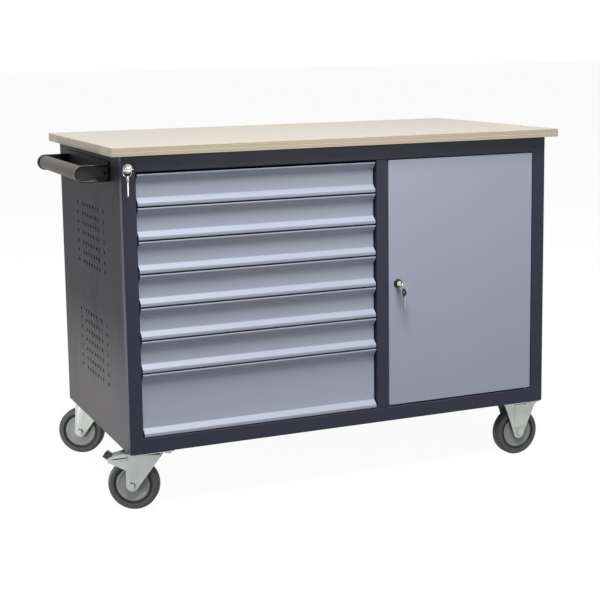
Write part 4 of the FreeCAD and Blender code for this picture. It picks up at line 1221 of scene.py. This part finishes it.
class CABINET_OT_brake(bpy.types.Operator):
    """Bends the brake pedal and puts a ribbed pad on its end and a block over its hinge"""

    bl_idname = "cabinet.brake"
    bl_label = "Brake pedal"

    def execute(self, context):
        s = context.scene.cabinet_sizes
        hinge = place_of("brake_pedal_press")
        trail = (hinge - place_of("front_left_swivel_turn")) * (1, 1, 0)
        arm = np.linalg.norm(trail)
        trail /= arm
        across = np.cross(Z, trail)

        def beam(section, half, edge):
            """Section in the plane of the lever, stacked across it and drawn in at both ends."""
            middle = section.mean(0)
            reach = np.abs(section - middle).max()
            rings = []
            for c, inset in ((-half, edge), (-half + edge, 0), (half - edge, 0), (half, edge)):
                flat = middle + (section - middle) * (1 - inset / reach)
                rings.append(hinge + (flat[:, :1] - arm) * trail + flat[:, 1:] * Z + c * across)
            return stacked(rings)

        lever = sheet_section(mm(LEVER_PATH), s.lever_sheet, 3 * MM)
        barrel = [(0, -s.barrel), (s.barrel_radius, -s.barrel), (s.barrel_radius, s.barrel), (0, s.barrel)]
        shells = [beam(lever, s.lever_width / 2, 0.6 * MM), turned(barrel, hinge, across, 32)]
        piece("brake_pedal_lever", shells, finish_of("Caster zinc"), "brake_pedal", ["brake_pedal"])

        block = rounded(mm(BLOCK), 1.5 * MM)
        part = np.linspace(-1, 1, 60)
        ridge = 0.8 * MM
        ridges = ridge * soft_step((np.cos(part * 4.5 * math.pi) + 0.2) / 0.4) * soft_step((1 - np.abs(part)) * 8)
        top = np.stack([part * s.pad_long / 2, s.pad_thick / 2 - ridge + ridges], 1)
        under = np.array([(s.pad_long / 2, -s.pad_thick / 2), (-s.pad_long / 2, -s.pad_thick / 2)])
        cosine, sine = math.cos(s.pad_lean), math.sin(s.pad_lean)
        pad = np.vstack([top, under]) @ np.array([[cosine, sine], [-sine, cosine]]) + (s.pad_reach, s.pad_rise)
        shells = [beam(pad, s.pad_across / 2, 1.2 * MM), beam(block, s.pad_across / 2, 1 * MM)]
        piece("brake_pedal_pad", shells, finish_of("Pedal pad"), "brake_pedal")
        return {"FINISHED"}


class CABINET_OT_fasteners(bpy.types.Operator):
    """Sets the bolts under the caster plates"""

    bl_idname = "cabinet.fasteners"
    bl_label = "Fasteners"

    def execute(self, context):
        s = context.scene.cabinet_sizes
        bolts = []
        plate_low = box_of("base_panel")[0][2]
        for joint in [name + "_swivel_turn" for name in SWIVELS] + [name + "_wheel_roll" for name in FIXED]:
            x, y = place_of(joint)[:2]
            for dx in (-s.bolts_long / 2, s.bolts_long / 2):
                for dy in (-s.bolts_deep / 2, s.bolts_deep / 2):
                    seat = (x + dx, y + dy, plate_low - 2.4 * MM)
                    bolts.append(hexagon(seat, -Z, 16.0 * MM, 5.6 * MM))
        piece("caster_bolt_heads", bolts, finish_of("Slide zinc"), "cabinet", sharp=25)
        return {"FINISHED"}


def seen_directly(tree):
    """1 for rays from the camera, through glass or off a gloss, else 0."""
    ray = tree.nodes.new("ShaderNodeLightPath").outputs
    straight = calc(tree, "MAXIMUM", ray["Is Camera Ray"], ray["Is Transmission Ray"])
    return calc(tree, "MAXIMUM", straight, ray["Is Glossy Ray"])


class CABINET_OT_stage(bpy.types.Operator):
    """Sets the floor, the soft light, the white surroundings and the camera"""

    bl_idname = "cabinet.stage"
    bl_label = "Stage"

    def execute(self, context):
        stage = context.scene.cabinet_stage
        scene = context.scene
        scene.view_settings.view_transform = "Standard"

        camera = bpy.data.objects.new("Camera", bpy.data.cameras.new("Camera"))
        scene.collection.objects.link(camera)
        camera.data.lens = stage.lens
        camera.data.sensor_width = 36.0
        camera.data.shift_x, camera.data.shift_y = stage.shift
        camera.data.clip_end = 100.0
        facing = Matrix.Rotation(stage.turn, 4, "Z") @ Matrix.Rotation(math.pi / 2 - stage.tilt, 4, "X")
        camera.matrix_world = Matrix.Translation(stage.eye) @ facing @ Matrix.Rotation(stage.roll, 4, "Z")
        scene.camera = camera

        world = bpy.data.worlds.new("Surroundings")
        world.use_nodes = True
        scene.world = world
        tree = world.node_tree
        strength = calc(tree, "MULTIPLY_ADD", seen_directly(tree), 1.0 - stage.sky, stage.sky)
        light = tree.nodes["Background"]
        light.inputs["Color"].default_value = (1, 1, 1, 1)
        tree.links.new(strength, light.inputs["Strength"])

        floor, tree, shader = blank("Pale floor")
        shader.inputs["Base Color"].default_value = (*[stage.floor] * 3, 1)
        shader.inputs["Roughness"].default_value = 0.9
        shader.inputs["Specular IOR Level"].default_value = 0.0
        shader.inputs["Emission Color"].default_value = (1, 1, 1, 1)
        tree.links.new(calc(tree, "MULTIPLY", seen_directly(tree), stage.glow), shader.inputs["Emission Strength"])
        far = 60.0
        mesh = bpy.data.meshes.new("Floor")
        mesh.from_pydata([(-far, -far, 0), (far, -far, 0), (far, far, 0), (-far, far, 0)], [], [(0, 1, 2, 3)])
        mesh.materials.append(floor)
        ground = bpy.data.objects.new("Floor", mesh)
        scene.collection.objects.link(ground)

        for name, place, aim, size, power in (
            ("Key lamp", (-0.55, -1.7, 4.1), (0.0, 0.0, 0.5), 1.5, stage.key_light),
            ("Overhead lamp", (-0.2, 0.6, 3.4), (0.0, 0.0, 0.8), 2.2, stage.top_light),
            ("Low lamp", (-1.35, -0.02, 0.12), (-0.55, 0.05, 0.2), 0.4, stage.side_light),
            ("Fill lamp", (0.9, -3.0, 0.9), (0.25, -0.3, 0.35), 1.5, stage.fill_light),
        ):
            data = bpy.data.lights.new(name, "AREA")
            data.size = size
            data.energy = power
            lamp = bpy.data.objects.new(name, data)
            lamp.visible_camera = False
            scene.collection.objects.link(lamp)
            sight = Vector(aim) - Vector(place)
            lamp.matrix_world = Matrix.Translation(place) @ sight.to_track_quat("-Z", "Y").to_matrix().to_4x4()
        return {"FINISHED"}


STEPS = (
    CABINET_OT_finishes,
    CABINET_OT_body,
    CABINET_OT_worktop,
    CABINET_OT_fronts,
    CABINET_OT_trays,
    CABINET_OT_door,
    CABINET_OT_shelf,
    CABINET_OT_locks,
    CABINET_OT_keys,
    CABINET_OT_handle,
    CABINET_OT_forks,
    CABINET_OT_wheels,
    CABINET_OT_brake,
    CABINET_OT_fasteners,
    CABINET_OT_stage,
)


class CABINET_PT_panel(bpy.types.Panel):
    """Lists the steps that build the cabinet"""

    bl_label = "Mobile drawer cabinet"
    bl_idname = "CABINET_PT_panel"
    bl_space_type = "VIEW_3D"
    bl_region_type = "UI"
    bl_category = "Cabinet"

    def draw(self, context):
        for step in STEPS:
            self.layout.operator(step.bl_idname)
        for group in (getattr(context.scene, key) for key in GROUPS):
            column = self.layout.column()
            for name in group.__annotations__:
                column.prop(group, name)


GROUPS = {
    "cabinet_paints": CabinetPaints,
    "cabinet_board": CabinetBoard,
    "cabinet_sizes": CabinetSizes,
    "cabinet_stage": CabinetStage,
}


def register():
    """Makes the groups, operators and panel known."""
    for name, group in GROUPS.items():
        bpy.utils.register_class(group)
        setattr(bpy.types.Scene, name, bpy.props.PointerProperty(type=group))
    for item in STEPS + (CABINET_PT_panel,):
        bpy.utils.register_class(item)


def unregister():
    """Takes them away again."""
    for item in reversed(STEPS + (CABINET_PT_panel,)):
        bpy.utils.unregister_class(item)
    for name, group in GROUPS.items():
        delattr(bpy.types.Scene, name)
        bpy.utils.unregister_class(group)


def main():
    register()
    for step in STEPS:
        family, action = step.bl_idname.split(".")
        getattr(getattr(bpy.ops, family), action)()


if __name__ == "__main__":
    main()
